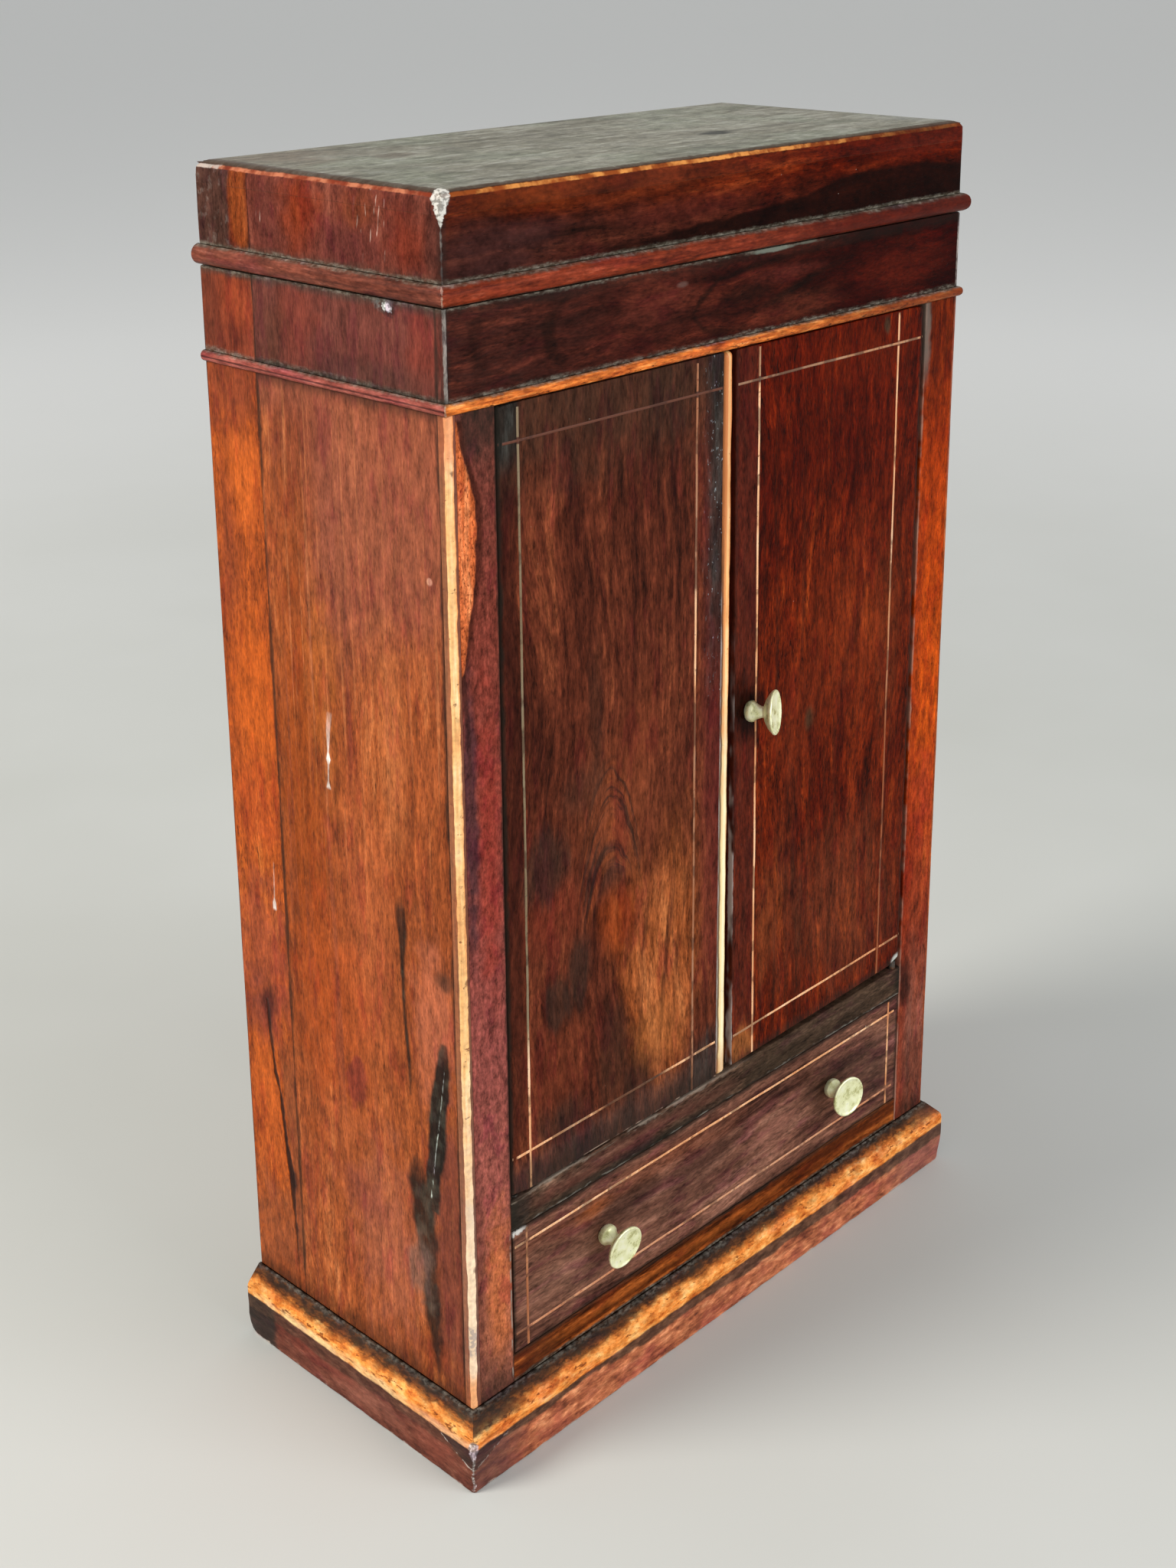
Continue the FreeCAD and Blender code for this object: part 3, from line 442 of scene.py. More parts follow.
class Net:
    """A material whose node tree is written as arithmetic on the piece's own coordinates, in mm."""

    def __init__(self, name):
        self.material = bpy.data.materials.new(name)
        self.material.use_nodes = True
        self.tree = self.material.node_tree
        self.tree.nodes.clear()
        place = self.add("ShaderNodeTexCoord")
        scaled = self.add("ShaderNodeVectorMath", operation="SCALE")
        self.tree.links.new(place.outputs["Object"], scaled.inputs[0])
        scaled.inputs["Scale"].default_value = 1 / MM
        parts = self.add("ShaderNodeSeparateXYZ")
        self.tree.links.new(scaled.outputs[0], parts.inputs[0])
        self.x, self.y, self.z = (Wire(self, output) for output in parts.outputs)
        self.point = Wire(self, scaled.outputs[0])
        facing = self.add("ShaderNodeSeparateXYZ")
        self.tree.links.new(place.outputs["Normal"], facing.inputs[0])
        self.nx, self.ny, self.nz = (Wire(self, output) for output in facing.outputs)

    def add(self, kind, **settings):
        node = self.tree.nodes.new(kind)
        for key, value in settings.items():
            setattr(node, key, value)
        return node

    def put(self, socket, value):
        if isinstance(value, Wire):
            self.tree.links.new(value.socket, socket)
        else:
            socket.default_value = value

    def math(self, operation, *values):
        node = self.add("ShaderNodeMath", operation=operation)
        for socket, value in zip(node.inputs, values):
            self.put(socket, value)
        return Wire(self, node.outputs[0])

    def ramp(self, value, start, end):
        """0 below start and 1 above end, smoothly between."""
        node = self.add("ShaderNodeMapRange", interpolation_type="SMOOTHSTEP")
        for socket, given in zip(node.inputs, (value, start, end)):
            self.put(socket, given)
        return Wire(self, node.outputs[0])

    def vector(self, x, y, z):
        node = self.add("ShaderNodeCombineXYZ")
        for socket, value in zip(node.inputs, (x, y, z)):
            self.put(socket, value)
        return Wire(self, node.outputs[0])

    def scaled(self, vector, scale, shift=0.0):
        node = self.add("ShaderNodeMapping")
        self.put(node.inputs["Vector"], vector)
        node.inputs["Location"].default_value = (shift * 13.7, shift * 5.3, shift * 9.1)
        node.inputs["Scale"].default_value = scale
        return Wire(self, node.outputs[0])

    def noise(self, vector, detail=2.0, roughness=0.5, distortion=0.0):
        node = self.add("ShaderNodeTexNoise")
        self.put(node.inputs["Vector"], vector)
        node.inputs["Scale"].default_value = 1.0
        node.inputs["Detail"].default_value = detail
        node.inputs["Roughness"].default_value = roughness
        node.inputs["Distortion"].default_value = distortion
        return Wire(self, node.outputs[0])

    def drawn(self, scale, shift, detail=2.0, roughness=0.5):
        """Noise over the piece's own coordinates, each axis at its own scale; a small one draws it out."""
        return self.noise(self.scaled(self.point, scale, shift), detail, roughness)

    def cloud(self, size, shift=0.0, detail=2.0):
        """Noise with features about size millimetres across, the same in every direction."""
        return self.drawn((1 / size,) * 3, shift, detail)

    def cells(self, vector):
        """Distance to the nearest cell's middle, and that cell's random value."""
        node = self.add("ShaderNodeTexVoronoi")
        self.put(node.inputs["Vector"], vector)
        node.inputs["Scale"].default_value = 1.0
        parts = self.add("ShaderNodeSeparateColor")
        self.tree.links.new(node.outputs["Color"], parts.inputs[0])
        return Wire(self, node.outputs["Distance"]), Wire(self, parts.outputs[0])

    def specks(self, spacing, size, share, shift=0.0):
        """Small round specks: one in some of the cells, spacing millimetres apart."""
        distance, chance = self.cells(self.scaled(self.point, (1 / spacing,) * 3, shift))
        radius = chance.step(1 - share, 1.0) * (size / spacing)
        return (radius - distance).step(0.0, 0.04)

    def stops_node(self, value, stops):
        """A ramp node through (place, (red, green, blue, alpha)) stops."""
        node = self.add("ShaderNodeValToRGB")
        ramp = node.color_ramp
        while len(ramp.elements) < len(stops):
            ramp.elements.new(0.5)
        for element, (place, given) in zip(ramp.elements, stops):
            element.position, element.color = place, given
        self.put(node.inputs[0], value)
        return node

    def colours(self, value, stops):
        """A colour ramp through (place, (red, green, blue)) stops, as they look on screen."""
        return Wire(self, self.stops_node(value, [(place, colour(*tone)) for place, tone in stops]).outputs[0])

    def levels(self, value, stops):
        """Three values that change together: a ramp through (place, (first, second, third)) stops."""
        node = self.stops_node(value, [(place, (*values, 1.0)) for place, values in stops])
        parts = self.add("ShaderNodeSeparateColor")
        self.tree.links.new(node.outputs[0], parts.inputs[0])
        return [Wire(self, output) for output in parts.outputs]

    def mix(self, first, second, share, blend="MIX"):
        node = self.add("ShaderNodeMix", data_type="RGBA", blend_type=blend, clamp_factor=True)
        self.put(node.inputs[0], share)
        for socket, tone in ((node.inputs[6], first), (node.inputs[7], second)):
            self.put(socket, colour(*tone) if isinstance(tone, tuple) and len(tone) == 3 else tone)
        return Wire(self, node.outputs[2])

    def shade(self, tone, value):
        """A colour made lighter or darker by a value about 1."""
        grey = self.add("ShaderNodeCombineColor")
        for socket in grey.inputs[:3]:
            self.put(socket, value)
        return self.mix(tone, Wire(self, grey.outputs[0]), 1.0, "MULTIPLY")

    def finish(self, tone, roughness, height=None, relief=0.07, specular=0.025, metallic=0.0):
        """The shader: colour, roughness and relief in mm from nodes, and everything even set on the shader."""
        shader = self.add("ShaderNodeBsdfPrincipled")
        self.put(shader.inputs["Base Color"], tone)
        self.put(shader.inputs["Roughness"], roughness)
        shader.inputs["Specular IOR Level"].default_value = specular
        shader.inputs["Metallic"].default_value = metallic
        if height is not None:
            bump = self.add("ShaderNodeBump")
            bump.inputs["Strength"].default_value = 0.6
            bump.inputs["Distance"].default_value = relief * MM
            self.put(bump.inputs["Height"], height)
            self.tree.links.new(bump.outputs[0], shader.inputs["Normal"])
        output = self.add("ShaderNodeOutputMaterial")
        self.tree.links.new(shader.outputs[0], output.inputs[0])
        return self.material

    # ------------------------------------------------------------------ wood

    def grain(self, flow, across, through, shift, figure=14.0, sway=5.0, reach=90.0):
        """The grain of one board, each about 0.5: broad figure, streaks, flecks and fine lines; and open pores."""
        place = self.vector(across, through, flow)
        drift = self.noise(self.scaled(place, (0.006, 0.006, 0.012), shift), 1.0)
        wave = self.noise(self.scaled(place, (0.05, 0.05, 0.03), shift + 6), 2.0)
        lay = self.vector(across + (drift - 0.5) * (sway * 4) + (wave - 0.5) * 3.0, through, flow)
        broad = self.noise(self.scaled(lay, (1 / figure, 1 / figure, 1 / reach), shift + 1), 3.0, 0.55, 0.3)
        streak = self.noise(self.scaled(lay, (0.42, 0.42, 1 / 30), shift + 2), 4.0, 0.6, 0.3)
        fleck = self.noise(self.scaled(lay, (0.8, 0.8, 0.14), shift + 3), 3.0, 0.6)
        fine = self.noise(self.scaled(lay, (2.6, 2.6, 0.6), shift + 5), 2.0, 0.6)
        pores = self.noise(self.scaled(lay, (2.1, 2.1, 0.36), shift + 4), 1.0, 0.5)
        return broad, streak, fleck, fine, pores.step(0.62, 0.7)

    def wood(self, grain, stops, figure=1.0, texture=1.0):
        """The colour and relief of a board from its grain and its tones, dark to light."""
        broad, streak, fleck, fine, pores = grain
        value = 0.5 + (broad - 0.5) * (1.3 * figure) + (streak - 0.5) * (1.1 * figure) + (fleck - 0.5) * 0.4
        tone = self.colours(value, stops)
        tone = self.shade(tone, 0.98 + (fleck - 0.5) * (0.7 * texture) + (fine - 0.5) * (0.8 * texture))
        tone = self.shade(tone, 1.0 - pores * (0.35 * texture))
        height = fine * 0.4 + fleck * 0.4 - pores
        return tone, height

    def patch(self, u, v, centre, reach, wobble, edge=0.35):
        """A soft-edged patch about reach across on each side of its centre, its outline disturbed."""
        du, dv = (u - centre[0]) / reach[0], (v - centre[1]) / reach[1]
        radius = self.math("SQRT", du * du + dv * dv)
        return radius.waver(wobble, 2.0).step(1 + edge, 1 - edge)

    def patches(self, tone, u, v, wobble, spots):
        """Several patches of their own tone: (centre, reach, edge, tone, strength) each."""
        for centre, reach, edge, shade, strength in spots:
            tone = self.mix(tone, shade, self.patch(u, v, centre, reach, wobble, edge) * strength)
        return tone

    def line(self, u, v, path, width, wobble=None, soft=0.35, stray=0.8):
        """A line that wanders with v: path is (v, u, width share, strength) points, in order of v."""
        start, end = path[0][0], path[-1][0]
        offsets = [point[1] for point in path]
        low, high = min(offsets) - 0.5, max(offsets) + 0.5
        stops = [((point[0] - start) / (end - start), ((point[1] - low) / (high - low), *point[2:]))
                 for point in path]
        place, share, strength = self.levels((v - start) / (end - start), stops)
        gap = (u - (place * (high - low) + low)).abs()
        if wobble is not None:
            gap = gap + (wobble - 0.5) * stray
        inside = (share * width - gap).step(-soft, soft)
        return inside * strength * v.step(start - 0.5, start + 0.5) * v.step(end + 0.5, end - 0.5)

    def border(self, pairs):
        """Distance in millimetres to the nearest of some limits, each an axis wire and a place."""
        nearest = None
        for axis, place in pairs:
            gap = axis.gap(place)
            nearest = gap if nearest is None else nearest.least(gap)
        return nearest

    def dust(self, dark=(72, 66, 54), pale=(140, 134, 120)):
        """The colour of dust and wax settled along a level joint, crumbly and paler in places."""
        crumbs = self.drawn((0.6, 0.6, 1.6), 45.0, 4.0, 0.6)
        return self.mix(dark, pale, crumbs.step(0.38, 0.7))

    def settled(self, gap, reach):
        """How much dust lies this far from a ledge: crumbly, and thinning out over its reach."""
        crumbs = self.drawn((0.7, 0.7, 1.5), 47.0, 4.0, 0.6)
        drifts = self.cloud(8.0, 48.0, 3.0)
        return (gap + (crumbs - 0.5) * (reach * 1.3) + (drifts - 0.5) * (reach * 1.8)).step(reach * 1.4, reach * -0.1)

    def slate(self):
        """The grey of a worn upright arris, paler in stretches."""
        stretches = self.drawn((0.8, 0.8, 0.3), 49.0, 3.0, 0.6)
        return self.mix((82, 78, 76), (148, 142, 134), stretches.step(0.42, 0.6))

    def rubbed(self, tone, gap):
        """A worn upright arris, gap away from it: a thin grey line with a darker border."""
        wander = (self.cloud(1.5, 8.0, 3.0) - 0.5) * 0.7
        tone = self.mix(tone, (44, 30, 26), (gap + wander).step(2.2, 0.9) * 0.55)
        return self.mix(tone, self.slate(), (gap + wander).step(0.6, 0.2) * 0.72)

    def ragged(self, across, through, flow, size, shift):
        """Noise for the outlines of figure: drawn out along the grain."""
        place = self.vector(across, through, flow)
        return self.noise(self.scaled(place, (1.6 / size, 1.6 / size, 0.3 / size), shift), 4.0, 0.62)


def four(*tones):
    """Ramp stops for a wood's four tones, dark to light, at the places that suit most boards."""
    return list(zip((0.18, 0.42, 0.6, 0.86), tones))


# Tones of the wood, each dark to light.
SIDE = [(0.18, (102, 46, 20)), (0.42, (144, 70, 32)), (0.58, (162, 82, 39)), (0.84, (194, 116, 66))]
LEAF = [(0.15, (106, 46, 18)), (0.42, (152, 68, 24)), (0.6, (172, 80, 26)), (0.88, (206, 118, 54))]
PURPLE = [(0.15, (80, 32, 24)), (0.42, (118, 56, 46)), (0.6, (136, 66, 54)), (0.88, (164, 90, 70))]
DARK = [(0.15, (36, 14, 9)), (0.4, (74, 32, 19)), (0.6, (94, 43, 26)), (0.86, (126, 64, 38))]
RED = [(0.15, (34, 7, 1)), (0.4, (80, 20, 3)), (0.6, (102, 30, 5)), (0.86, (146, 60, 18))]
ORANGE = [(0.15, (80, 20, 3)), (0.42, (144, 48, 8)), (0.6, (172, 64, 12)), (0.88, (210, 102, 34))]
SAP = [(0.2, (176, 84, 26)), (0.42, (226, 134, 56)), (0.6, (246, 164, 84)), (0.85, (255, 204, 128))]
DIRT = (34, 32, 27)
PALE = (222, 216, 202)
# Painted shadow: the near-black halo round the door knob's foot.
KNOB_SHADOW = (14, 9, 7)
BARE = (112, 66, 40)


# How polish and dirt are drawn out: along level boards, and over the lid's walls and top alike.
LEVEL = (0.3, 0.3, 1)
OVER_LID = (0.3, 1, 0.5)


def aged(net, tone, height, gloss, dirt=None, dirt_share=0.8, specks=0.02, mottle=1.0, flow=(1, 1, 0.3)):
    """An old uneven polish drawn out along the grain, dirt in the corners and small pale specks; the dirt mask also
    carries painted shade on the right door's hinge edge.

    Gives the colour, the relief and how rough the board is.
    """
    blotch, crumb, tint = (net.drawn([scale * f for f in flow], shift, detail, roughness)
                           for scale, shift, detail, roughness in (
                               (0.5, 31.0, 4.0, 0.55), (1.9, 33.0, 3.0, 0.55), (0.2, 35.0, 4.0, 0.6)))
    tone = net.mix(tone, (236, 214, 238), tint.step(0.5, 0.68) * mottle, "MULTIPLY")
    tone = net.shade(tone, 1.02 + (blotch - 0.5) * (1.7 * mottle) + (crumb - 0.5) * (1.4 * mottle))
    if dirt is not None:
        tone = net.mix(tone, DIRT, dirt * dirt_share)
    mark = net.specks(4.5, 0.26, specks, 17.0).most(net.specks(2.7, 0.14, specks, 19.0) * 0.7)
    tone = net.mix(tone, PALE, mark * 0.75)
    roughness = gloss + (net.cloud(9.0, 41.0) - 0.5) * 0.2 + mark * 0.2
    if dirt is not None:
        roughness = roughness + dirt * 0.25
    return tone, height + mark * 1.5, roughness


def above_bead(net, tone, upper, over, grime):
    """The side from the thin bead to the rim: another veneer, a darker grey band just under the rim, and dust on
    ledges.
    """
    frieze = net.z.step(THIN_LOW, THIN_HIGH)
    over = over * frieze
    tone = net.mix(net.mix(tone, upper, frieze), grime, over * 0.5)
    dusty = net.settled(net.z - THIN_HIGH, 1.2).most(net.settled(RIM - net.z, 0.9)) * frieze
    return net.mix(tone, net.dust(), dusty * 0.75), over


def side_wood(net, marked):
    """The side's veneer: upright grain, a purplish head, dirt at foot and joints; marked for the left side."""
    y, z = net.y, net.z
    tone, height = net.wood(net.grain(z, y, net.x, 1.0 if marked else 61.0, 15.0, 3.0, 120.0), SIDE, 0.6)
    wobble = net.cloud(7.0, 3.0, 3.0)
    broad = net.cloud(34.0, 5.0)
    head = z.waver(broad, 80.0).step(198.0, 252.0) * y.waver(wobble, 6.0).step(13.0, 1.0)
    head = head.most(z.waver(broad, 20.0).step(270.0, 282.0))
    tone = net.mix(tone, (138, 76, 56), head * 0.78)
    tone = net.patches(tone, y, z, wobble, [
        ((14.0, 256.0), (8.0, 20.0), 0.7, (136, 66, 32), 0.6), ((11.0, 274.0), (11.0, 12.0), 0.7, (108, 52, 36), 0.55),
        ((14.0, 168.0), (9.0, 60.0), 0.6, (138, 60, 10), 0.65),
        ((4.0, 208.0), (5.0, 28.0), 0.6, (170, 92, 36), 0.55),
        ((-22.0, 200.0), (4.5, 24.0), 0.7, (186, 108, 60), 0.5),
        ((-10.0, 146.0), (9.0, 34.0), 0.7, (182, 94, 52), 0.45),
        ((-34.0, 128.0), (7.0, 22.0), 0.5, (196, 110, 78), 0.55),
        ((6.0, 118.0), (13.0, 30.0), 0.7, (172, 74, 26), 0.5),
        ((-38.5, 62.0), (7.0, 46.0), 0.5, (98, 48, 42), 0.7),
        ((-14.0, 55.0), (12.0, 26.0), 0.7, (172, 98, 70), 0.6),
        ((4.0, 84.0), (8.0, 7.0), 0.6, (186, 98, 52), 0.45),
        ((-4.0, 66.0), (10.0, 6.0), 0.6, (128, 60, 48), 0.5),
        ((-30.0, 30.0), (7.0, 5.0), 0.6, (116, 46, 26), 0.6)])
    streaks = net.drawn((0.4, 0.4, 0.009), 8.0, 3.0, 0.6)
    tone = net.mix(tone, (118, 62, 48), streaks.step(0.52, 0.72) * 0.4)
    ticks = net.drawn((1.4, 1.4, 0.34), 27.0, 2.0, 0.6).step(0.58, 0.68)
    tone = net.mix(tone, (102, 46, 24), ticks * 0.45)
    lights = net.drawn((0.9, 0.9, 0.014), 18.0, 3.0, 0.6).step(0.56, 0.7)
    tone = net.mix(tone, (206, 128, 78), lights * z.step(120.0, 190.0) * (1.0 - head * 0.5) * 0.35)
    if marked:
        black = net.line(y, z, [
            (105, -24.5, 0.12, 0.6), (116, -24.3, 0.34, 0.95), (128, -23.2, 0.3, 0.9), (142, -23.0, 0.36, 0.95),
            (150, -23.4, 0.85, 0.9), (157, -23.0, 1.0, 0.75), (161, -22.6, 0.6, 0.1)], 1.9, wobble, 0.6, 1.2)
        black = black.most(net.line(y, z, [
            (74, -31.5, 0.75, 0.9), (84, -32.0, 0.85, 1.0), (96, -34.0, 0.95, 1.0), (108, -35.4, 1.0, 1.0),
            (118, -37.2, 0.8, 1.0), (125, -38.0, 0.3, 0.8)], 3.3, wobble, 0.7, 3.0))
        black = black.most(net.line(y, z, [
            (20, -32.6, 0.08, 0.6), (34, -31.0, 0.4, 0.85), (46, -30.0, 0.62, 0.95), (58, -29.8, 0.55, 0.8),
            (68, -28.4, 0.85, 0.95), (80, -27.0, 0.9, 0.95), (88, -25.8, 0.2, 0.4)], 5.0, wobble, 1.2, 5.0))
        tone = net.mix(tone, net.mix((18, 19, 15), (50, 52, 44), net.cloud(4.0, 2.0, 3.0).step(0.42, 0.7)),
                       black * 0.95)
        glint = net.line(y, z, [
            (78, -31.2, 0.8, 0.9), (92, -33.4, 0.5, 0.9), (104, -35.6, 0.6, 0.9), (117, -37.6, 0.3, 0.6)],
            0.3, wobble, 0.14, 0.5)
        glint = glint * net.drawn((1.5, 1.5, 0.4), 4.0, 2.0).step(0.42, 0.6)
        tone = net.mix(tone, (182, 190, 178), glint * 0.9)
        drip = net.line(y, z, [
            (182, 3.2, 1.0, 0.9), (184, 3.2, 0.25, 0.6), (188.5, 2.9, 0.3, 0.6), (190, 2.8, 1.0, 1.0),
            (192, 2.8, 0.3, 0.8), (198, 2.4, 0.9, 0.35), (203, 1.6, 1.2, 0.12)], 0.85, None, 0.25)
        tone = net.patches(tone, y, z, wobble, [
            ((-26.5, 54.0), (4.5, 9.0), 0.5, (118, 96, 84), 0.5),
            ((-2.6, 100.0), (4.0, 8.0), 0.2, (114, 40, 36), 0.65),
            ((-38.5, 143.0), (3.6, 2.6), 0.5, (70, 44, 32), 0.7),
            ((-37.8, 246.3), (0.8, 0.8), 0.4, (206, 150, 118), 0.8)])
        tone = net.mix(tone, (236, 222, 210), drip)
        height = height + drip * 3.0
    edge = net.border([(y, LEAF_JOINT), (y, STRIP_BACK)]) + (net.ragged(y, net.x, z, 5.0, 14.0) - 0.5) * 3.4
    grime = net.cloud(9.0, 12.0, 4.0)
    low = z.waver(grime, 16.0).step(PLINTH_TOP + 9.0, PLINTH_TOP)
    high = z.waver(wobble, 3.0).step(THIN_LOW - 3.5, THIN_LOW) * z.step(THIN_HIGH + 1.6, THIN_HIGH)
    dirt = edge.step(1.1, 0.0).most(low * 0.7).most(high * 0.8)
    frieze = z.step(THIN_LOW, THIN_HIGH)
    upper = net.wood(net.grain(z, y, net.x, 2.5, 10.0, 2.0, 60.0), [
        (0.2, (78, 38, 30)), (0.42, (98, 50, 41)), (0.6, (110, 58, 48)), (0.85, (132, 76, 62))], 0.5, 0.5)[0]
    upper = net.patches(upper, y, z, wobble, [
        ((-38.0, 300.0), (5.0, 12.0), 0.5, (120, 52, 40), 0.75),
        ((8.0, 300.0), (8.0, 14.0), 0.5, (118, 52, 38), 0.6),
        ((17.0, 296.0), (5.0, 10.0), 0.8, (82, 48, 34), 0.6),
        ((-20.0, 292.0), (22.0, 3.5), 0.8, (80, 50, 42), 0.6)])
    tone, over = above_bead(net, tone, upper, z.waver(grime, 4.0).step(RIM - 2.6, RIM - 0.6), (72, 62, 54))
    tone = net.mix(tone, net.rubbed(tone, y.gap(FRONT)), frieze)
    if marked:
        crumbs = net.cloud(1.4, 4.0, 3.0)
        halo = net.patch(y, z, (-25.0, 309.8), (3.6, 1.7), crumbs, 0.5)
        tone = net.mix(tone, (128, 132, 128), halo * crumbs.step(0.44, 0.6) * 0.8)
        putty = net.patch(y, z, (-26.2, 309.2), (1.5, 1.2), crumbs, 0.2).most(
            net.patch(y, z, (37.0, 310.2), (1.3, 0.7), crumbs, 0.3))
        tone = net.mix(tone, (40, 32, 28), net.patch(y, z, (-26.0, 308.8), (2.4, 1.9), crumbs, 0.3) * 0.7)
        tone = net.mix(tone, net.mix((150, 152, 146), (226, 226, 220), net.cloud(0.7, 9.0, 3.0).step(0.42, 0.56)),
                       putty * 0.95)
        height = height + putty * 2.0
    return tone, height, dirt.most(over * 0.3)


def leaf_wood(net, marked):
    """The narrow leaf at the back of the side: orange, with short dark pores."""
    y, z = net.y, net.z
    tone, height = net.wood(net.grain(z, y, net.x, 7.0 if marked else 67.0, 9.0, 2.0, 90.0), LEAF, 0.5)
    wobble = net.cloud(7.0, 6.0, 3.0)
    ticks = net.drawn((1.3, 1.3, 0.4), 21.0, 2.0, 0.6).step(0.57, 0.66)
    tone = net.mix(tone, (96, 36, 14), ticks * 0.65)
    tone = net.patches(tone, y, z, wobble, [
        ((34.0, 285.0), (14.0, 15.0), 0.6, (122, 56, 34), 0.75),
        ((31.0, 258.0), (6.0, 12.0), 0.7, (204, 98, 34), 0.6),
        ((40.0, 238.0), (4.0, 20.0), 0.7, (138, 64, 34), 0.5),
        ((32.0, 198.0), (10.0, 20.0), 0.6, (192, 88, 24), 0.65),
        ((34.0, 168.0), (8.0, 12.0), 0.7, (178, 72, 28), 0.5),
        ((34.0, 124.0), (12.0, 22.0), 0.6, (150, 72, 48), 0.6), ((38.0, 106.0), (7.0, 8.0), 0.6, (120, 56, 46), 0.6),
        ((36.0, 78.0), (6.0, 18.0), 0.6, (198, 94, 34), 0.6),
        ((34.0, 34.0), (14.0, 18.0), 0.6, (138, 76, 46), 0.6)])
    if marked:
        crack = net.line(y, z, [
            (20, 26.6, 0.35, 0.6), (40, 27.0, 0.4, 0.8), (50, 27.6, 0.9, 0.95), (58, 27.6, 1.9, 1.0),
            (66, 29.4, 0.9, 1.0), (82, 30.8, 0.9, 1.0), (88, 32.6, 0.8, 1.0), (100, 34.0, 0.5, 0.9),
            (110, 34.6, 0.4, 0.7)], 0.8, wobble, 0.35, 2.2)
        knot = net.patch(y, z, (34.0, 110.0), (2.6, 6.0), wobble, 0.5).most(
            net.patch(y, z, (26.8, 57.0), (1.8, 3.6), wobble, 0.5))
        beyond = (y + (wobble - 0.5) * 3.0 - z * 0.09 - 21.0).step(2.0, 0.0) * z.step(106.0, 88.0)
        tone = net.mix(tone, (132, 72, 42), beyond * 0.7)
        tone = net.mix(tone, (62, 28, 20), knot * 0.75)
        tone = net.mix(tone, (34, 18, 12), crack * 0.94)
        height = height - crack * 6.0
        drip = net.line(y, z, [
            (139, 28.8, 1.0, 1.0), (141, 28.8, 0.9, 0.9), (142.5, 28.7, 0.25, 0.5), (153, 28.2, 0.2, 0.2)],
            0.7, None, 0.25)
        tone = net.mix(tone, (236, 222, 210), drip)
        height = height + drip * 3.0
    edge = net.border([(y, LEAF_JOINT), (y, BACK)]) + (net.ragged(y, net.x, z, 5.0, 14.0) - 0.5) * 2.6
    low = z.waver(wobble, 8.0).step(PLINTH_TOP + 6.0, PLINTH_TOP)
    upper = net.wood(net.grain(z, y, net.x, 9.5, 10.0, 2.0, 60.0), [
        (0.2, (86, 34, 20)), (0.42, (112, 48, 29)), (0.6, (126, 58, 36)), (0.85, (150, 78, 50))], 0.6, 0.6)[0]
    upper = net.patches(upper, y, z, wobble, [
        ((31.0, 303.0), (6.0, 6.0), 0.7, (152, 66, 34), 0.6), ((42.0, 300.0), (4.0, 14.0), 0.7, (96, 46, 30), 0.6)])
    tone, over = above_bead(net, tone, upper, z.waver(wobble, 3.0).step(RIM - 2.4, RIM - 0.6), (76, 62, 52))
    return tone, height, edge.step(0.8, 0.0).most(low * 0.7).most(over * 0.3)


def veneer(name, wood, marked, specks):
    """The material of one of the side's veneers, from side_wood or leaf_wood."""
    net = Net(name)
    tone, height, dirt = wood(net, marked)
    tone, height, roughness = aged(net, tone, height, 0.36, dirt, 0.75, specks)
    return net.finish(tone, roughness, height, specular=0.05)


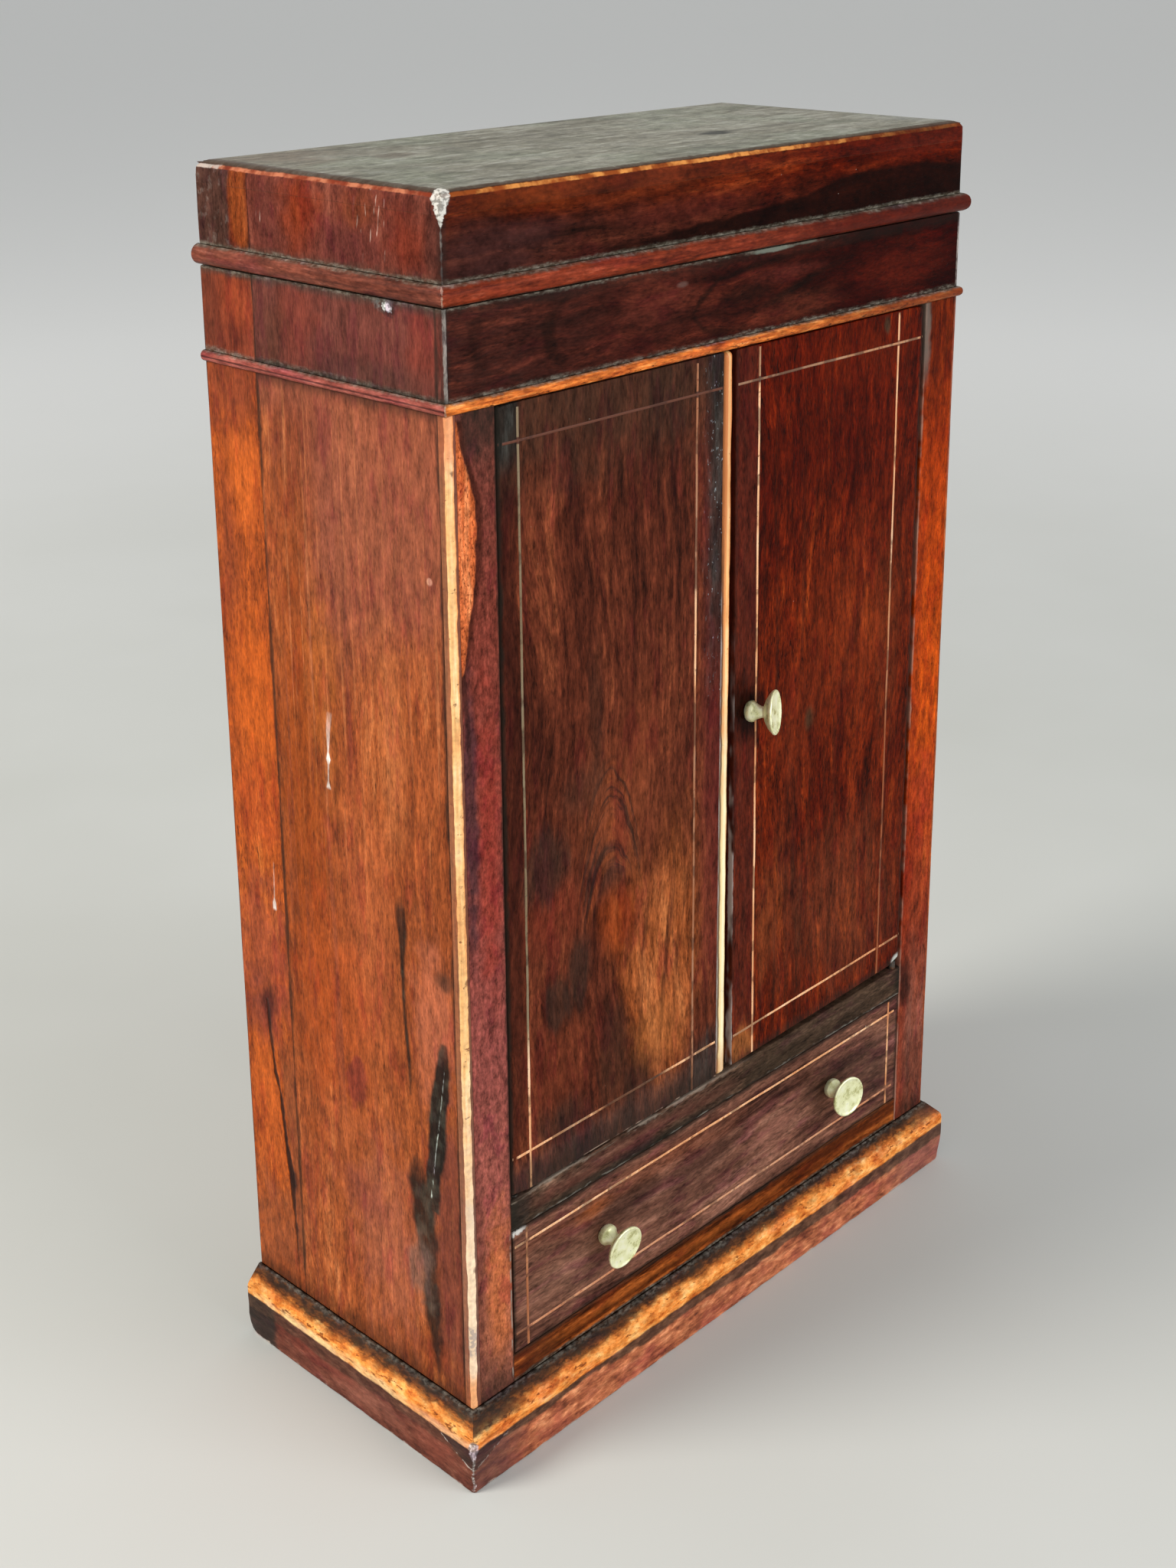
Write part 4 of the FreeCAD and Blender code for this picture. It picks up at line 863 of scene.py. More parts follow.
def left_stile():
    """Purplish upright grain, darker above, with an orange patch of sapwood in the upper part."""
    net = Net("rosewood_left_stile")
    x, z = net.x, net.z
    high = span("left_stile")[1]
    tone, height = net.wood(net.grain(z, x, net.y, 11.0, 5.0, 1.0, 60.0), PURPLE, 0.6)
    wobble = net.cloud(6.0, 12.0, 3.0)
    along = net.colours(z.waver(wobble, 24.0) / 290.0, [
        (0.06, (110, 74, 58)), (0.15, (170, 106, 72)), (0.28, (152, 88, 76)), (0.42, (142, 76, 70)),
        (0.66, (120, 52, 42)), (0.82, (104, 44, 30)), (0.92, (76, 40, 30)), (0.97, (52, 42, 34))])
    tone = net.mix(tone, along, 0.5)
    dots = net.drawn((1.2, 1.2, 0.5), 35.0, 2.0, 0.6)
    tone = net.shade(tone, 1.0 + (dots - 0.5) * 1.5)
    tone = net.patches(tone, x, z, wobble, [
        ((-89.8, 53.0), (3.8, 20.0), 0.6, (182, 100, 58), 0.8), ((-96.6, 52.0), (1.8, 30.0), 0.6, (92, 48, 42), 0.6),
        ((-90.0, 176.0), (3.6, 34.0), 0.7, (142, 50, 36), 0.6), ((-95.4, 186.0), (2.3, 36.0), 0.5, (58, 38, 42), 0.8),
        ((-92.0, 26.0), (6.0, 6.0), 0.7, (84, 56, 46), 0.45)])
    boundary = net.line(x, z, [
        (222, -97.4, 0.3, 1.0), (230, -95.6, 0.6, 1.0), (242, -93.8, 0.8, 1.0), (256, -92.0, 1.0, 1.0),
        (266, -92.4, 1.0, 1.0), (275, -95.0, 0.7, 1.0), (285, -96.4, 0.4, 1.0)], 2.6, wobble, 0.8, 1.0)
    inside = net.line(x, z, [
        (220, -99.6, 0.3, 1.0), (226, -98.6, 0.55, 1.0), (236, -97.5, 0.72, 1.0), (246, -96.5, 0.9, 1.0),
        (256, -96.1, 1.0, 1.0), (265, -96.2, 1.0, 1.0), (272, -97.2, 0.8, 1.0), (279, -98.6, 0.6, 1.0),
        (285, -99.2, 0.45, 1.0)], 4.4, wobble, 0.4, 1.6)
    tone = net.mix(tone, (58, 24, 15), boundary * (1.0 - inside) * 0.8)
    sap = net.wood(net.grain(z, x, net.y, 14.0, 5.0, 1.0, 30.0), [
        (0.15, (150, 64, 30)), (0.42, (192, 94, 48)), (0.62, (206, 108, 60)), (0.9, (226, 140, 88))], 1.0, 1.3)[0]
    dots = net.drawn((1.5, 1.5, 0.9), 5.0, 1.0).step(0.58, 0.66)
    sap = net.mix(sap, (98, 38, 16), dots * 0.7)
    tone = net.mix(tone, sap, inside)
    trail = net.line(x, z, [(186, -95.2, 0.3, 0.1), (205, -95.4, 0.6, 0.6), (224, -96.8, 1.0, 1.0)],
                     0.9, wobble, 0.5, 0.8)
    tone = net.mix(tone, (46, 22, 18), trail * 0.8)
    dirt = x.waver(wobble, 1.2).step(high[0] - 0.8, high[0] - 0.1) * 0.8
    dirt = dirt.most(z.waver(wobble, 12.0).step(THIN_LOW - 15.0, THIN_LOW - 2.0) * x.step(-97.0, -93.0) * 0.8)
    dirt = dirt.most(z.waver(wobble, 6.0).step(PLINTH_TOP + 8.0, PLINTH_TOP + 1.0) * 0.6)
    tone, height, roughness = aged(net, tone, height, 0.38, dirt, 0.85, 0.12, 1.2, (1, 1, 0.6))
    pale = (x - high[0] + 0.55 + (wobble - 0.5) * 0.5).abs().step(0.32, 0.1) * z.step(66.5, 64.0)
    tone = net.mix(tone, (150, 140, 128), pale * net.cloud(4.0, 5.0, 3.0).step(0.42, 0.56) * 0.8)
    return net.finish(tone, roughness, height)


def right_stile():
    """Orange in the middle, red-black at the top and brown at the foot, worn at its inner arris."""
    net = Net("rosewood_right_stile")
    x, z = net.x, net.z
    low = span("right_stile")[0]
    wobble = net.cloud(6.0, 13.0, 3.0)
    tone, height = net.wood(net.grain(z, x, net.y, 16.0, 6.0, 1.0, 60.0), ORANGE, 0.7)
    along = net.colours(z.waver(wobble, 24.0) / 290.0, [
        (0.07, (82, 54, 44)), (0.18, (132, 84, 68)), (0.3, (104, 48, 34)), (0.42, (134, 46, 22)),
        (0.56, (196, 82, 14)), (0.7, (170, 64, 8)), (0.83, (144, 46, 4)), (0.93, (60, 14, 3)), (0.99, (24, 5, 2))])
    tone = net.mix(tone, along, 0.66)
    blots = net.drawn((0.45, 0.45, 0.12), 55.0, 4.0, 0.62)
    tone = net.shade(tone, 1.0 + (blots - 0.5) * 1.4)
    inner = x.waver(wobble, 4.0).step(91.0, 87.0) * z.step(262.0, 200.0)
    tone = net.mix(tone, (124, 34, 12), inner * 0.55)
    dots = net.drawn((1.5, 1.5, 0.9), 25.0, 1.0).step(0.59, 0.67)
    tone = net.mix(tone, (92, 22, 6), dots * 0.45)
    tone = net.patches(tone, x, z, wobble, [
        ((87.5, 70.0), (3.0, 9.0), 0.6, (26, 15, 12), 0.85), ((94.0, 132.0), (4.0, 12.0), 0.7, (156, 52, 30), 0.5),
        ((90.0, 36.0), (7.0, 14.0), 0.7, (96, 52, 38), 0.4)])
    dirt = z.waver(wobble, 6.0).step(PLINTH_TOP + 8.0, PLINTH_TOP + 1.0) * 0.6
    tone, height, roughness = aged(net, tone, height, 0.36, dirt, 0.8, 0.04, 1.2, (1, 1, 0.35))
    pale = x.waver(net.cloud(3.0, 8.0), 0.8).step(low[0] + 0.75, low[0] + 0.3)
    rub = net.cloud(9.0, 5.0, 3.0).step(0.34, 0.6)
    worn = x.waver(wobble, 3.0).step(low[0] + 3.2, low[0] + 1.2) * z.step(260.0, 272.0)
    tone = net.mix(tone, (158, 116, 98), pale * rub * 0.8)
    tone = net.mix(tone, (108, 100, 90), worn * 0.7)
    return net.finish(tone, roughness, height)


def left_door():
    """Dark flame figure, brown-orange below on the right, dark green haze along its edges."""
    net = Net("rosewood_left_door")
    x, z = net.x, net.z
    low, high = span("left_door_panel")
    wobble = net.cloud(8.0, 15.0, 3.0)
    off = x + 47.0 + (wobble - 0.5) * 3.0
    rise = z + off * off * 0.2 + (wobble - 0.5) * 4.0
    rings = net.noise(net.scaled(net.vector(rise, net.y, x), (0.2, 0.2, 0.05), 2.0), 3.0, 0.6)
    figure = net.grain(z, x, net.y, 18.0, 12.0, 7.0, 70.0)
    bowed = (x + 47.0).abs().step(15.0, 8.0) * rise.step(192.0, 182.0) * rise.step(152.0, 160.0) * z.step(138.0, 150.0)
    tone, height = net.wood(figure, DARK, 0.9, 1.25)
    glow = net.patch(x, z - (x + 30.0) * 0.7, (-30.0, 118.0), (19.0, 36.0), net.ragged(x, net.y, z, 16.0, 5.0), 0.6)
    cut = (x * 0.93 + z * 0.36 + (wobble - 0.5) * 9.0).step(-1.0, 6.0)
    lit = net.wood(figure, [
        (0.2, (112, 50, 20)), (0.42, (146, 76, 36)), (0.6, (166, 90, 46)), (0.85, (196, 118, 66))], 0.9, 1.25)[0]
    ragged = net.ragged(x, net.y, z, 9.0, 3.0)
    tone = net.mix(tone, lit, glow * cut * 0.85)
    flames = net.noise(net.scaled(net.vector(x - z * 0.1, net.y, z), (0.3, 0.3, 0.022), 14.0), 3.0, 0.6)
    tone = net.mix(tone, (66, 34, 20), flames.step(0.52, 0.66) * glow * 0.7)
    tone = net.patches(tone, x, z, ragged, [
        ((-44.0, 172.0), (14.0, 14.0), 0.8, (124, 62, 36), 0.65),
        ((-45.0, 143.0), (6.0, 10.0), 0.6, (146, 60, 18), 0.5),
        ((-30.0, 101.0), (9.0, 9.0), 0.6, (158, 92, 46), 0.5),
        ((-68.0, 152.0), (8.0, 10.0), 0.6, (112, 44, 28), 0.55),
        ((-66.0, 108.0), (12.0, 12.0), 0.6, (106, 48, 28), 0.5),
        ((-36.0, 190.0), (9.0, 12.0), 0.7, (118, 56, 32), 0.5),
        ((-52.0, 202.0), (2.6, 16.0), 0.7, (44, 26, 19), 0.6),
        ((-57.0, 182.0), (7.0, 6.0), 0.8, (50, 34, 26), 0.5),
        ((-46.0, 157.0), (8.0, 7.0), 0.7, (54, 38, 31), 0.6),
        ((-66.0, 125.0), (5.0, 8.0), 0.35, (46, 32, 25), 0.75),
        ((-59.0, 131.0), (4.4, 10.0), 0.35, (46, 32, 25), 0.75),
        ((-70.0, 165.0), (8.0, 10.0), 0.35, (52, 36, 28), 0.7),
        ((-46.0, 100.0), (5.0, 16.0), 0.6, (56, 35, 24), 0.6),
        ((-36.0, 90.0), (8.0, 7.0), 0.6, (52, 34, 24), 0.55),
        ((-66.0, 90.0), (9.0, 6.0), 0.6, (54, 37, 29), 0.6)])
    tone = net.mix(tone, (48, 32, 25), rings.step(0.5, 0.58) * bowed * 0.75)
    tone = net.mix(tone, (134, 66, 34), rings.step(0.48, 0.4) * bowed * 0.5)
    outer = x.waver(wobble, 2.0).step(low[0] + 6.6, low[0] + 5.0) * z.step(84.0, 96.0)
    tone = net.mix(tone, (56, 22, 14), outer * 0.6)
    blush = x.waver(wobble, 5.0).step(high[0] - 9.5, high[0] - 5.0) * z.step(98.0, 120.0)
    tone = net.mix(tone, (92, 34, 30), blush * 0.6)
    head = z.waver(wobble, 22.0).step(high[2] - 34.0, high[2] - 6.0)
    tone = net.mix(tone, (58, 38, 27), head * 0.75)
    right = x.waver(wobble, 4.0).step(high[0] - 9.0, high[0] - 3.0)
    right = right * z.waver(wobble, 30.0).step(180.0, 230.0)
    corner = net.patch(x, z, (-8.0, 84.0), (8.0, 8.0), ragged, 0.6)
    left = x.waver(wobble, 2.0).step(low[0] + 7.5, low[0] + 6.3) * z.step(268.0, 276.0)
    haze = right.most(corner * 0.8).most(left)
    green = net.mix((30, 30, 27), (58, 60, 56), net.ragged(x, net.y, z, 5.0, 7.0).step(0.45, 0.68))
    tone = net.mix(tone, green, haze * 0.8)
    scuffs = net.drawn((1.4, 1.4, 0.8), 62.0, 2.0).step(0.66, 0.72) * right
    tone = net.mix(tone, (140, 146, 146), scuffs * 0.7)
    ground = z + (wobble - 0.5) * 7.0
    tone = net.mix(tone, (72, 58, 52), ground.step(low[2] + 13.0, low[2] + 5.0) * 0.5)
    dirt = (ground.step(low[2] + 9.0, low[2] + 1.0) * 0.75).most(x.waver(wobble, 2.0).step(low[0] + 1.6, low[0] + 0.4))
    tone, height, roughness = aged(net, tone, height, 0.36, dirt, 0.8, 0.1, 1.2)
    rubbed = z.gap(low[2]).step(0.6, 0.2) * net.cloud(5.0, 2.0, 3.0).step(0.48, 0.62)
    tone = net.mix(tone, (186, 160, 140), rubbed * 0.6)
    return net.finish(tone, roughness, height)


def right_door():
    """Dark red-brown with fine upright streaks, worn pale along its meeting arris; painted shade along both edges and
    round the knob.
    """
    net = Net("rosewood_right_door")
    x, z = net.x, net.z
    low, high = span("right_door_panel")
    wobble = net.cloud(8.0, 19.0, 3.0)
    tone, height = net.wood(net.grain(z, x, net.y, 22.0, 9.0, 7.0, 70.0), RED, 0.75, 2.0)
    ragged = net.ragged(x, net.y, z, 9.0, 13.0)
    stripes = net.drawn((0.35, 0.35, 0.012), 24.0, 3.0, 0.6)
    tone = net.mix(tone, (52, 22, 10), stripes.step(0.54, 0.7) * 0.5)
    tone = net.patches(tone, x, z, ragged, [
        ((34.0, 252.0), (26.0, 18.0), 0.8, (62, 16, 4), 0.45),
        ((25.0, 132.0), (6.0, 32.0), 0.8, (58, 26, 15), 0.5),
        ((56.0, 198.0), (17.0, 26.0), 0.8, (116, 44, 16), 0.45),
        ((72.0, 190.0), (5.0, 34.0), 0.8, (116, 48, 20), 0.45),
        ((56.0, 276.0), (18.0, 7.0), 0.8, (108, 38, 10), 0.5),
        ((30.0, 178.0), (9.0, 16.0), 0.8, (108, 40, 16), 0.5),
        ((50.0, 112.0), (26.0, 22.0), 0.8, (98, 50, 30), 0.5),
        ((15.0, 118.0), (3.4, 14.0), 0.8, (128, 62, 30), 0.5),
        ((62.0, 92.0), (14.0, 8.0), 0.8, (64, 30, 20), 0.5),
        ((66.5, 283.0), (1.4, 2.2), 0.5, (66, 62, 54), 0.8),
        ((34.5, 175.0), (2.0, 3.6), 0.5, (48, 40, 26), 0.7)])
    tone = net.mix(tone, (226, 186, 150), z.waver(wobble, 30.0).step(196.0, 262.0) * 0.9, "MULTIPLY")
    vein = net.line(x, z, [(160, 47.0, 0.6, 0.3), (178, 49.0, 0.8, 0.8), (196, 55.0, 1.0, 0.9), (212, 61.0, 0.7, 0.4)],
                    2.2, wobble, 1.2, 3.0)
    tone = net.mix(tone, (54, 20, 9), vein * 0.5)
    strip = x.waver(wobble, 1.5).step(10.4, 9.4)
    tone = net.mix(tone, (76, 32, 22), strip * 0.6)
    # The second patch is painted shadow round the door knob's foot.
    tone = net.patches(tone, x, z, wobble, [
        ((5.0, 83.0), (4.6, 6.0), 0.4, (150, 88, 44), 0.75), ((5.0, 186.0), (6.0, 8.0), 0.5, KNOB_SHADOW, 0.75)])
    # Painted shade along the hinge edge, where the rounded arris turns into the gap by the stile; it goes to aged as
    # dirt, with a darker foot.
    hinge_edge_shade = x.waver(wobble, 2.2).step(high[0] - 2.6, high[0] - 0.4)
    foot = z.waver(wobble, 5.0).step(low[2] + 4.0, low[2]) * 0.7
    tone, height, roughness = aged(net, tone, height, 0.34, hinge_edge_shade.most(foot), 0.8, 0.05, 1.4)
    worn = x.gap(low[0]) + (net.y - FRONT).most(0.0) * 0.6 + (net.cloud(2.4, 6.0, 3.0) - 0.5) * 0.5
    lower = z.waver(wobble, 40.0).step(214.0, 170.0)
    patchy = net.drawn((0.2, 0.2, 0.09), 66.0, 2.0).step(0.4, 0.58)
    tone = net.mix(tone, (172, 162, 156), worn.step(0.36, 0.12) * (lower * patchy * 0.8))
    # Painted shade: darker on the proud edge face and arris at the meeting edge, where the warped door steps out past
    # the bead.
    tone = net.mix(tone, (44, 24, 18), worn.step(1.6, 0.5) * (1.0 - lower * patchy) * 0.5)
    chip = net.patch(x, z, (83.0, 79.6), (2.2, 1.2), wobble, 0.5)
    tone = net.mix(tone, (188, 190, 182), chip * 0.9)
    return net.finish(tone, roughness, height)


def drawer_front():
    """Brown wood with level grain, lighter on the left, its upper left corner chipped."""
    net = Net("rosewood_drawer_front")
    x, z = net.x, net.z
    low, high = span("drawer_front")
    wobble = net.cloud(8.0, 23.0, 3.0)
    tone, height = net.wood(net.grain(x, z, net.y, 27.0, 8.0, 4.0, 70.0),
        four((56, 31, 24), (98, 62, 49), (114, 75, 59), (144, 100, 82)), 1.1, 1.0)
    ragged = net.ragged(z, net.y, x, 8.0, 17.0)
    tone = net.patches(tone, x, z, ragged, [
        ((-58.0, 42.0), (24.0, 7.0), 0.8, (130, 92, 74), 0.5), ((22.0, 46.0), (11.0, 4.5), 0.4, (140, 92, 76), 0.6),
        ((-10.0, 44.0), (20.0, 6.0), 0.8, (78, 50, 40), 0.5),
        ((-34.0, 59.0), (34.0, 3.4), 0.8, (112, 58, 36), 0.6), ((-54.0, 58.0), (6.0, 3.0), 0.6, (146, 76, 34), 0.5),
        ((-40.0, 53.0), (13.0, 5.0), 0.6, (54, 34, 27), 0.7), ((52.0, 53.0), (16.0, 5.0), 0.6, (54, 38, 30), 0.6),
        ((-8.0, 52.0), (14.0, 3.0), 0.6, (66, 40, 31), 0.6), ((74.0, 44.0), (7.0, 9.0), 0.7, (66, 46, 38), 0.6),
        ((-20.0, 50.0), (16.0, 3.0), 0.8, (74, 46, 38), 0.5), ((66.0, 46.0), (8.0, 10.0), 0.8, (82, 56, 46), 0.5)])
    edge = net.border([(x, low[0]), (x, high[0]), (z, low[2]), (z, high[2])]) + (wobble - 0.5) * 1.4
    tone, height, roughness = aged(net, tone, height, 0.4, edge.step(1.4, 0.1), 0.7, 0.12, 1.2, LEVEL)
    corner = net.patch(x, z, (-83.0, 65.2), (2.6, 1.0), wobble, 0.5) * net.cloud(1.6, 5.0).step(0.42, 0.55)
    tone = net.mix(tone, (214, 210, 202), corner * 0.85)
    return net.finish(tone, roughness, height)


def middle_rail():
    """A dull, dirty rail, rubbed pale along its upper edge on the left."""
    net = Net("rosewood_middle_rail")
    x, z = net.x, net.z
    low, high = span("middle_rail")
    wobble = net.cloud(6.0, 29.0, 3.0)
    tone, height = net.wood(net.grain(x, z, net.y, 29.0, 5.0, 1.0, 60.0),
        four((36, 26, 19), (66, 47, 36), (82, 60, 46), (122, 94, 76)), 1.1, 1.7)
    tone = net.patches(tone, x, z, wobble, [
        ((-48.0, 71.4), (30.0, 2.6), 0.7, (92, 54, 44), 0.7), ((-6.0, 70.6), (12.0, 2.4), 0.7, (82, 48, 38), 0.6),
        ((-46.0, 67.6), (44.0, 1.3), 0.7, (42, 36, 29), 0.7),
        ((44.0, 71.0), (38.0, 3.6), 0.8, (64, 47, 36), 0.6), ((-82.0, 70.0), (4.0, 6.0), 0.6, (48, 42, 37), 0.7)])
    step = (x - 8.0).step(0.0, 0.6)
    tone = net.mix(tone, (58, 46, 34), step * 0.4)
    edge = net.border([(x, low[0]), (x, high[0])]) + (wobble - 0.5) * 3.0
    dirt = edge.step(4.0, 0.5).most(z.waver(wobble, 2.0).step(low[2] + 1.2, low[2] + 0.1))
    tone, height, roughness = aged(net, tone, height, 0.48, dirt, 0.8, 0.14, 1.3, LEVEL)
    rubbed = net.drawn((0.11, 0.5, 0.6), 3.0, 3.0)
    worn = z.waver(net.cloud(2.5, 4.0, 3.0), 2.6).step(high[2] - 1.3, high[2] - 0.3)
    tone = net.mix(tone, (136, 122, 108), worn * rubbed.step(0.46, 0.6) * x.step(20.0, -20.0) * 0.8)
    under = z.waver(net.cloud(2.5, 4.0, 3.0), 2.0).step(low[2] + 0.9, low[2] + 0.3)
    tone = net.mix(tone, (128, 122, 112), under * rubbed.step(0.48, 0.6) * 0.6)
    return net.finish(tone, roughness, height)


def lower_rail():
    """Orange-brown with level grain, dust lying in the angle with the plinth."""
    net = Net("rosewood_lower_rail")
    x, z = net.x, net.z
    high = span("lower_rail")[1]
    wobble = net.cloud(6.0, 33.0, 3.0)
    tone, height = net.wood(net.grain(x, z, net.y, 33.0, 3.0, 1.0, 70.0),
        four((50, 19, 5), (98, 44, 14), (126, 60, 21), (178, 98, 42)), 1.2, 1.5)
    tone = net.patches(tone, x, z, wobble, [
        ((62.0, 24.0), (34.0, 6.0), 0.8, (92, 40, 14), 0.6), ((-30.0, 24.6), (44.0, 1.5), 0.7, (156, 82, 32), 0.5),
        ((-78.0, 24.0), (8.0, 6.0), 0.8, (84, 42, 22), 0.6)])
    dirt = z.waver(wobble, 1.6).step(high[2] - 1.4, high[2] - 0.1).most(
        z.waver(wobble, 2.0).step(PLINTH_TOP + 1.3, PLINTH_TOP + 0.3))
    tone, height, roughness = aged(net, tone, height, 0.4, dirt, 0.7, 0.06, 1.0, LEVEL)
    tone = net.mix(tone, net.dust((40, 34, 28), (134, 128, 114)), net.settled(z - PLINTH_TOP, 0.8) * 0.7)
    return net.finish(tone, roughness, height)


def frieze():
    """Dark wavy figure lying along the board, an eye in its middle, and a slate-grey worn arris at its left."""
    net = Net("rosewood_frieze")
    x, y, z = net.x, net.y, net.z
    wobble = net.cloud(7.0, 37.0, 3.0)
    bend = net.noise(net.scaled(net.vector(x, net.y, z), (0.035, 0.1, 0.05), 4.0), 2.0)
    tone, height = net.wood(net.grain(x, z + (bend - 0.5) * 9.0, net.y, 37.0, 7.0, 2.0, 46.0),
        four((18, 6, 3), (50, 17, 10), (66, 24, 14), (104, 46, 30)), 1.1, 1.4)
    side = net.colours(x.waver(wobble, 30.0) / 200.0 + 0.5, [
        (0.05, (56, 32, 27)), (0.32, (60, 24, 17)), (0.6, (56, 17, 9)), (0.8, (54, 8, 1)), (0.95, (48, 5, 0))])
    tone = net.mix(tone, side, 0.45)
    tone = net.mix(tone, (170, 60, 40), x.step(-30.0, 80.0), "MULTIPLY")
    eye = net.patch(x, z, (3.0, 300.4), (8.5, 2.2), wobble, 0.5)
    rings = net.line(z, x, [(-17, 296.5, 0.3, 0.3), (-14, 300.5, 1.0, 1.0), (-6, 305.5, 1.0, 1.0),
                            (12, 307.6, 0.9, 0.9), (40, 308.4, 0.8, 0.7), (72, 308.6, 0.8, 0.8)], 0.9, wobble, 0.7, 1.4)
    rings = rings.most(net.line(z, x, [(6, 294.6, 0.4, 0.4), (18, 297.4, 1.0, 1.0), (34, 302.0, 1.0, 0.9),
                                       (50, 305.0, 0.7, 0.4)], 1.1, wobble, 0.8, 1.4))
    rings = rings.most(net.line(z, x, [(-16, 297.0, 0.8, 0.6), (-12, 293.4, 1.0, 0.9), (-4, 291.8, 0.9, 0.8),
                                       (14, 291.4, 0.7, 0.3)], 1.0, wobble, 0.8, 1.4))
    rings = rings.most(net.line(x, z, [(292, -62.0, 0.8, 0.4), (297, -67.0, 1.0, 0.8), (303, -67.6, 1.0, 0.8),
                                       (308, -62.0, 0.9, 0.6)], 2.0, wobble, 1.8, 6.0))
    rings = rings.most(net.line(x, z, [(294, -88.0, 0.8, 0.4), (300, -91.0, 1.0, 0.7), (308, -90.0, 0.9, 0.6)],
                                2.2, wobble, 1.8, 6.0))
    tone = net.mix(tone, (14, 7, 4), rings.most(eye * 0.9) * 0.7)
    tone = net.patches(tone, x, z, net.ragged(z, y, x, 8.0, 27.0), [
        ((-28.0, 303.0), (13.0, 5.0), 0.7, (84, 36, 26), 0.5), ((28.0, 294.0), (16.0, 3.0), 0.7, (84, 38, 24), 0.5),
        ((20.0, 304.0), (12.0, 2.0), 0.7, (84, 34, 26), 0.5), ((72.0, 299.0), (20.0, 6.0), 0.8, (84, 24, 10), 0.5)])
    dark = z.waver(wobble, 3.0).step(RIM - 3.6, RIM - 1.0) * 0.5
    tone, height, roughness = aged(net, tone, height, 0.36, dark, 0.6, 0.1, 1.2, LEVEL)
    dusty = net.settled(z - THIN_HIGH, 0.9).most(net.settled(RIM - z, 0.8) * x.step(60.0, -20.0))
    tone = net.mix(tone, net.dust((58, 50, 42), (136, 130, 116)), dusty * 0.7)
    tone = net.patches(tone, x, z, wobble, [
        ((16.0, 310.5), (7.0, 0.55), 0.4, (116, 122, 110), 0.75), ((29.0, 310.7), (4.0, 0.4), 0.4, (104, 108, 96), 0.6),
        ((-20.0, 306.0), (1.6, 0.6), 0.6, (108, 84, 76), 0.5)])
    tone = net.rubbed(tone, x.gap(-HALF))
    return net.finish(tone, roughness, height)


def lid_front_wood(net):
    """Lengthwise grain, lighter above, with a black flame rising from the left towards the right."""
    x, z = net.x, net.z
    wobble = net.cloud(7.0, 43.0, 3.0)
    grain = net.grain(x, z, net.y, 43.0, 6.0, 2.0, 60.0)
    tone, height = net.wood(grain, four((24, 8, 4), (54, 22, 14), (66, 28, 18), (98, 48, 32)), 0.9, 1.3)
    upper = net.wood(grain, four((46, 12, 3), (76, 24, 6), (90, 32, 9), (126, 58, 26)), 0.9, 1.3)[0]
    tone = net.mix(tone, upper, (z + (wobble - 0.5) * 6.0 + (net.cloud(30.0, 4.0) - 0.5) * 12.0).step(323.0, 331.0))
    tone = net.mix(tone, (226, 160, 110), x.step(-50.0, 60.0), "MULTIPLY")
    tone = net.patches(tone, x, z, net.ragged(z, net.y, x, 8.0, 29.0), [
        ((-84.0, 322.0), (20.0, 7.0), 0.7, (58, 31, 28), 0.7), ((-72.0, 333.0), (14.0, 3.0), 0.8, (112, 46, 14), 0.6),
        ((-34.0, 333.0), (26.0, 3.0), 0.8, (104, 44, 22), 0.4), ((-20.0, 325.0), (18.0, 3.0), 0.8, (78, 28, 20), 0.5),
        ((78.0, 332.0), (18.0, 3.0), 0.8, (84, 26, 14), 0.5)])
    ridge = net.levels((x + 60.0) / 160.0, [
        (0.0, (0.0, 0, 0)), (0.2, (0.24, 0, 0)), (0.36, (0.34, 0, 0)), (0.52, (0.5, 0, 0)), (0.68, (0.88, 0, 0)),
        (0.86, (0.92, 0, 0)), (1.0, (0.72, 0, 0))])[0]
    flame = (ridge * 11.5 + 316.8 - z + (wobble - 0.5) * 2.0).step(-0.4, 0.7) * x.step(-62.0, -30.0)
    tone = net.mix(tone, (18, 4, 2), flame * 0.88)
    tone = net.mix(tone, (14, 4, 2), (flame * flame.step(0.9, 0.5)) * 0.5)
    return tone, height, wobble


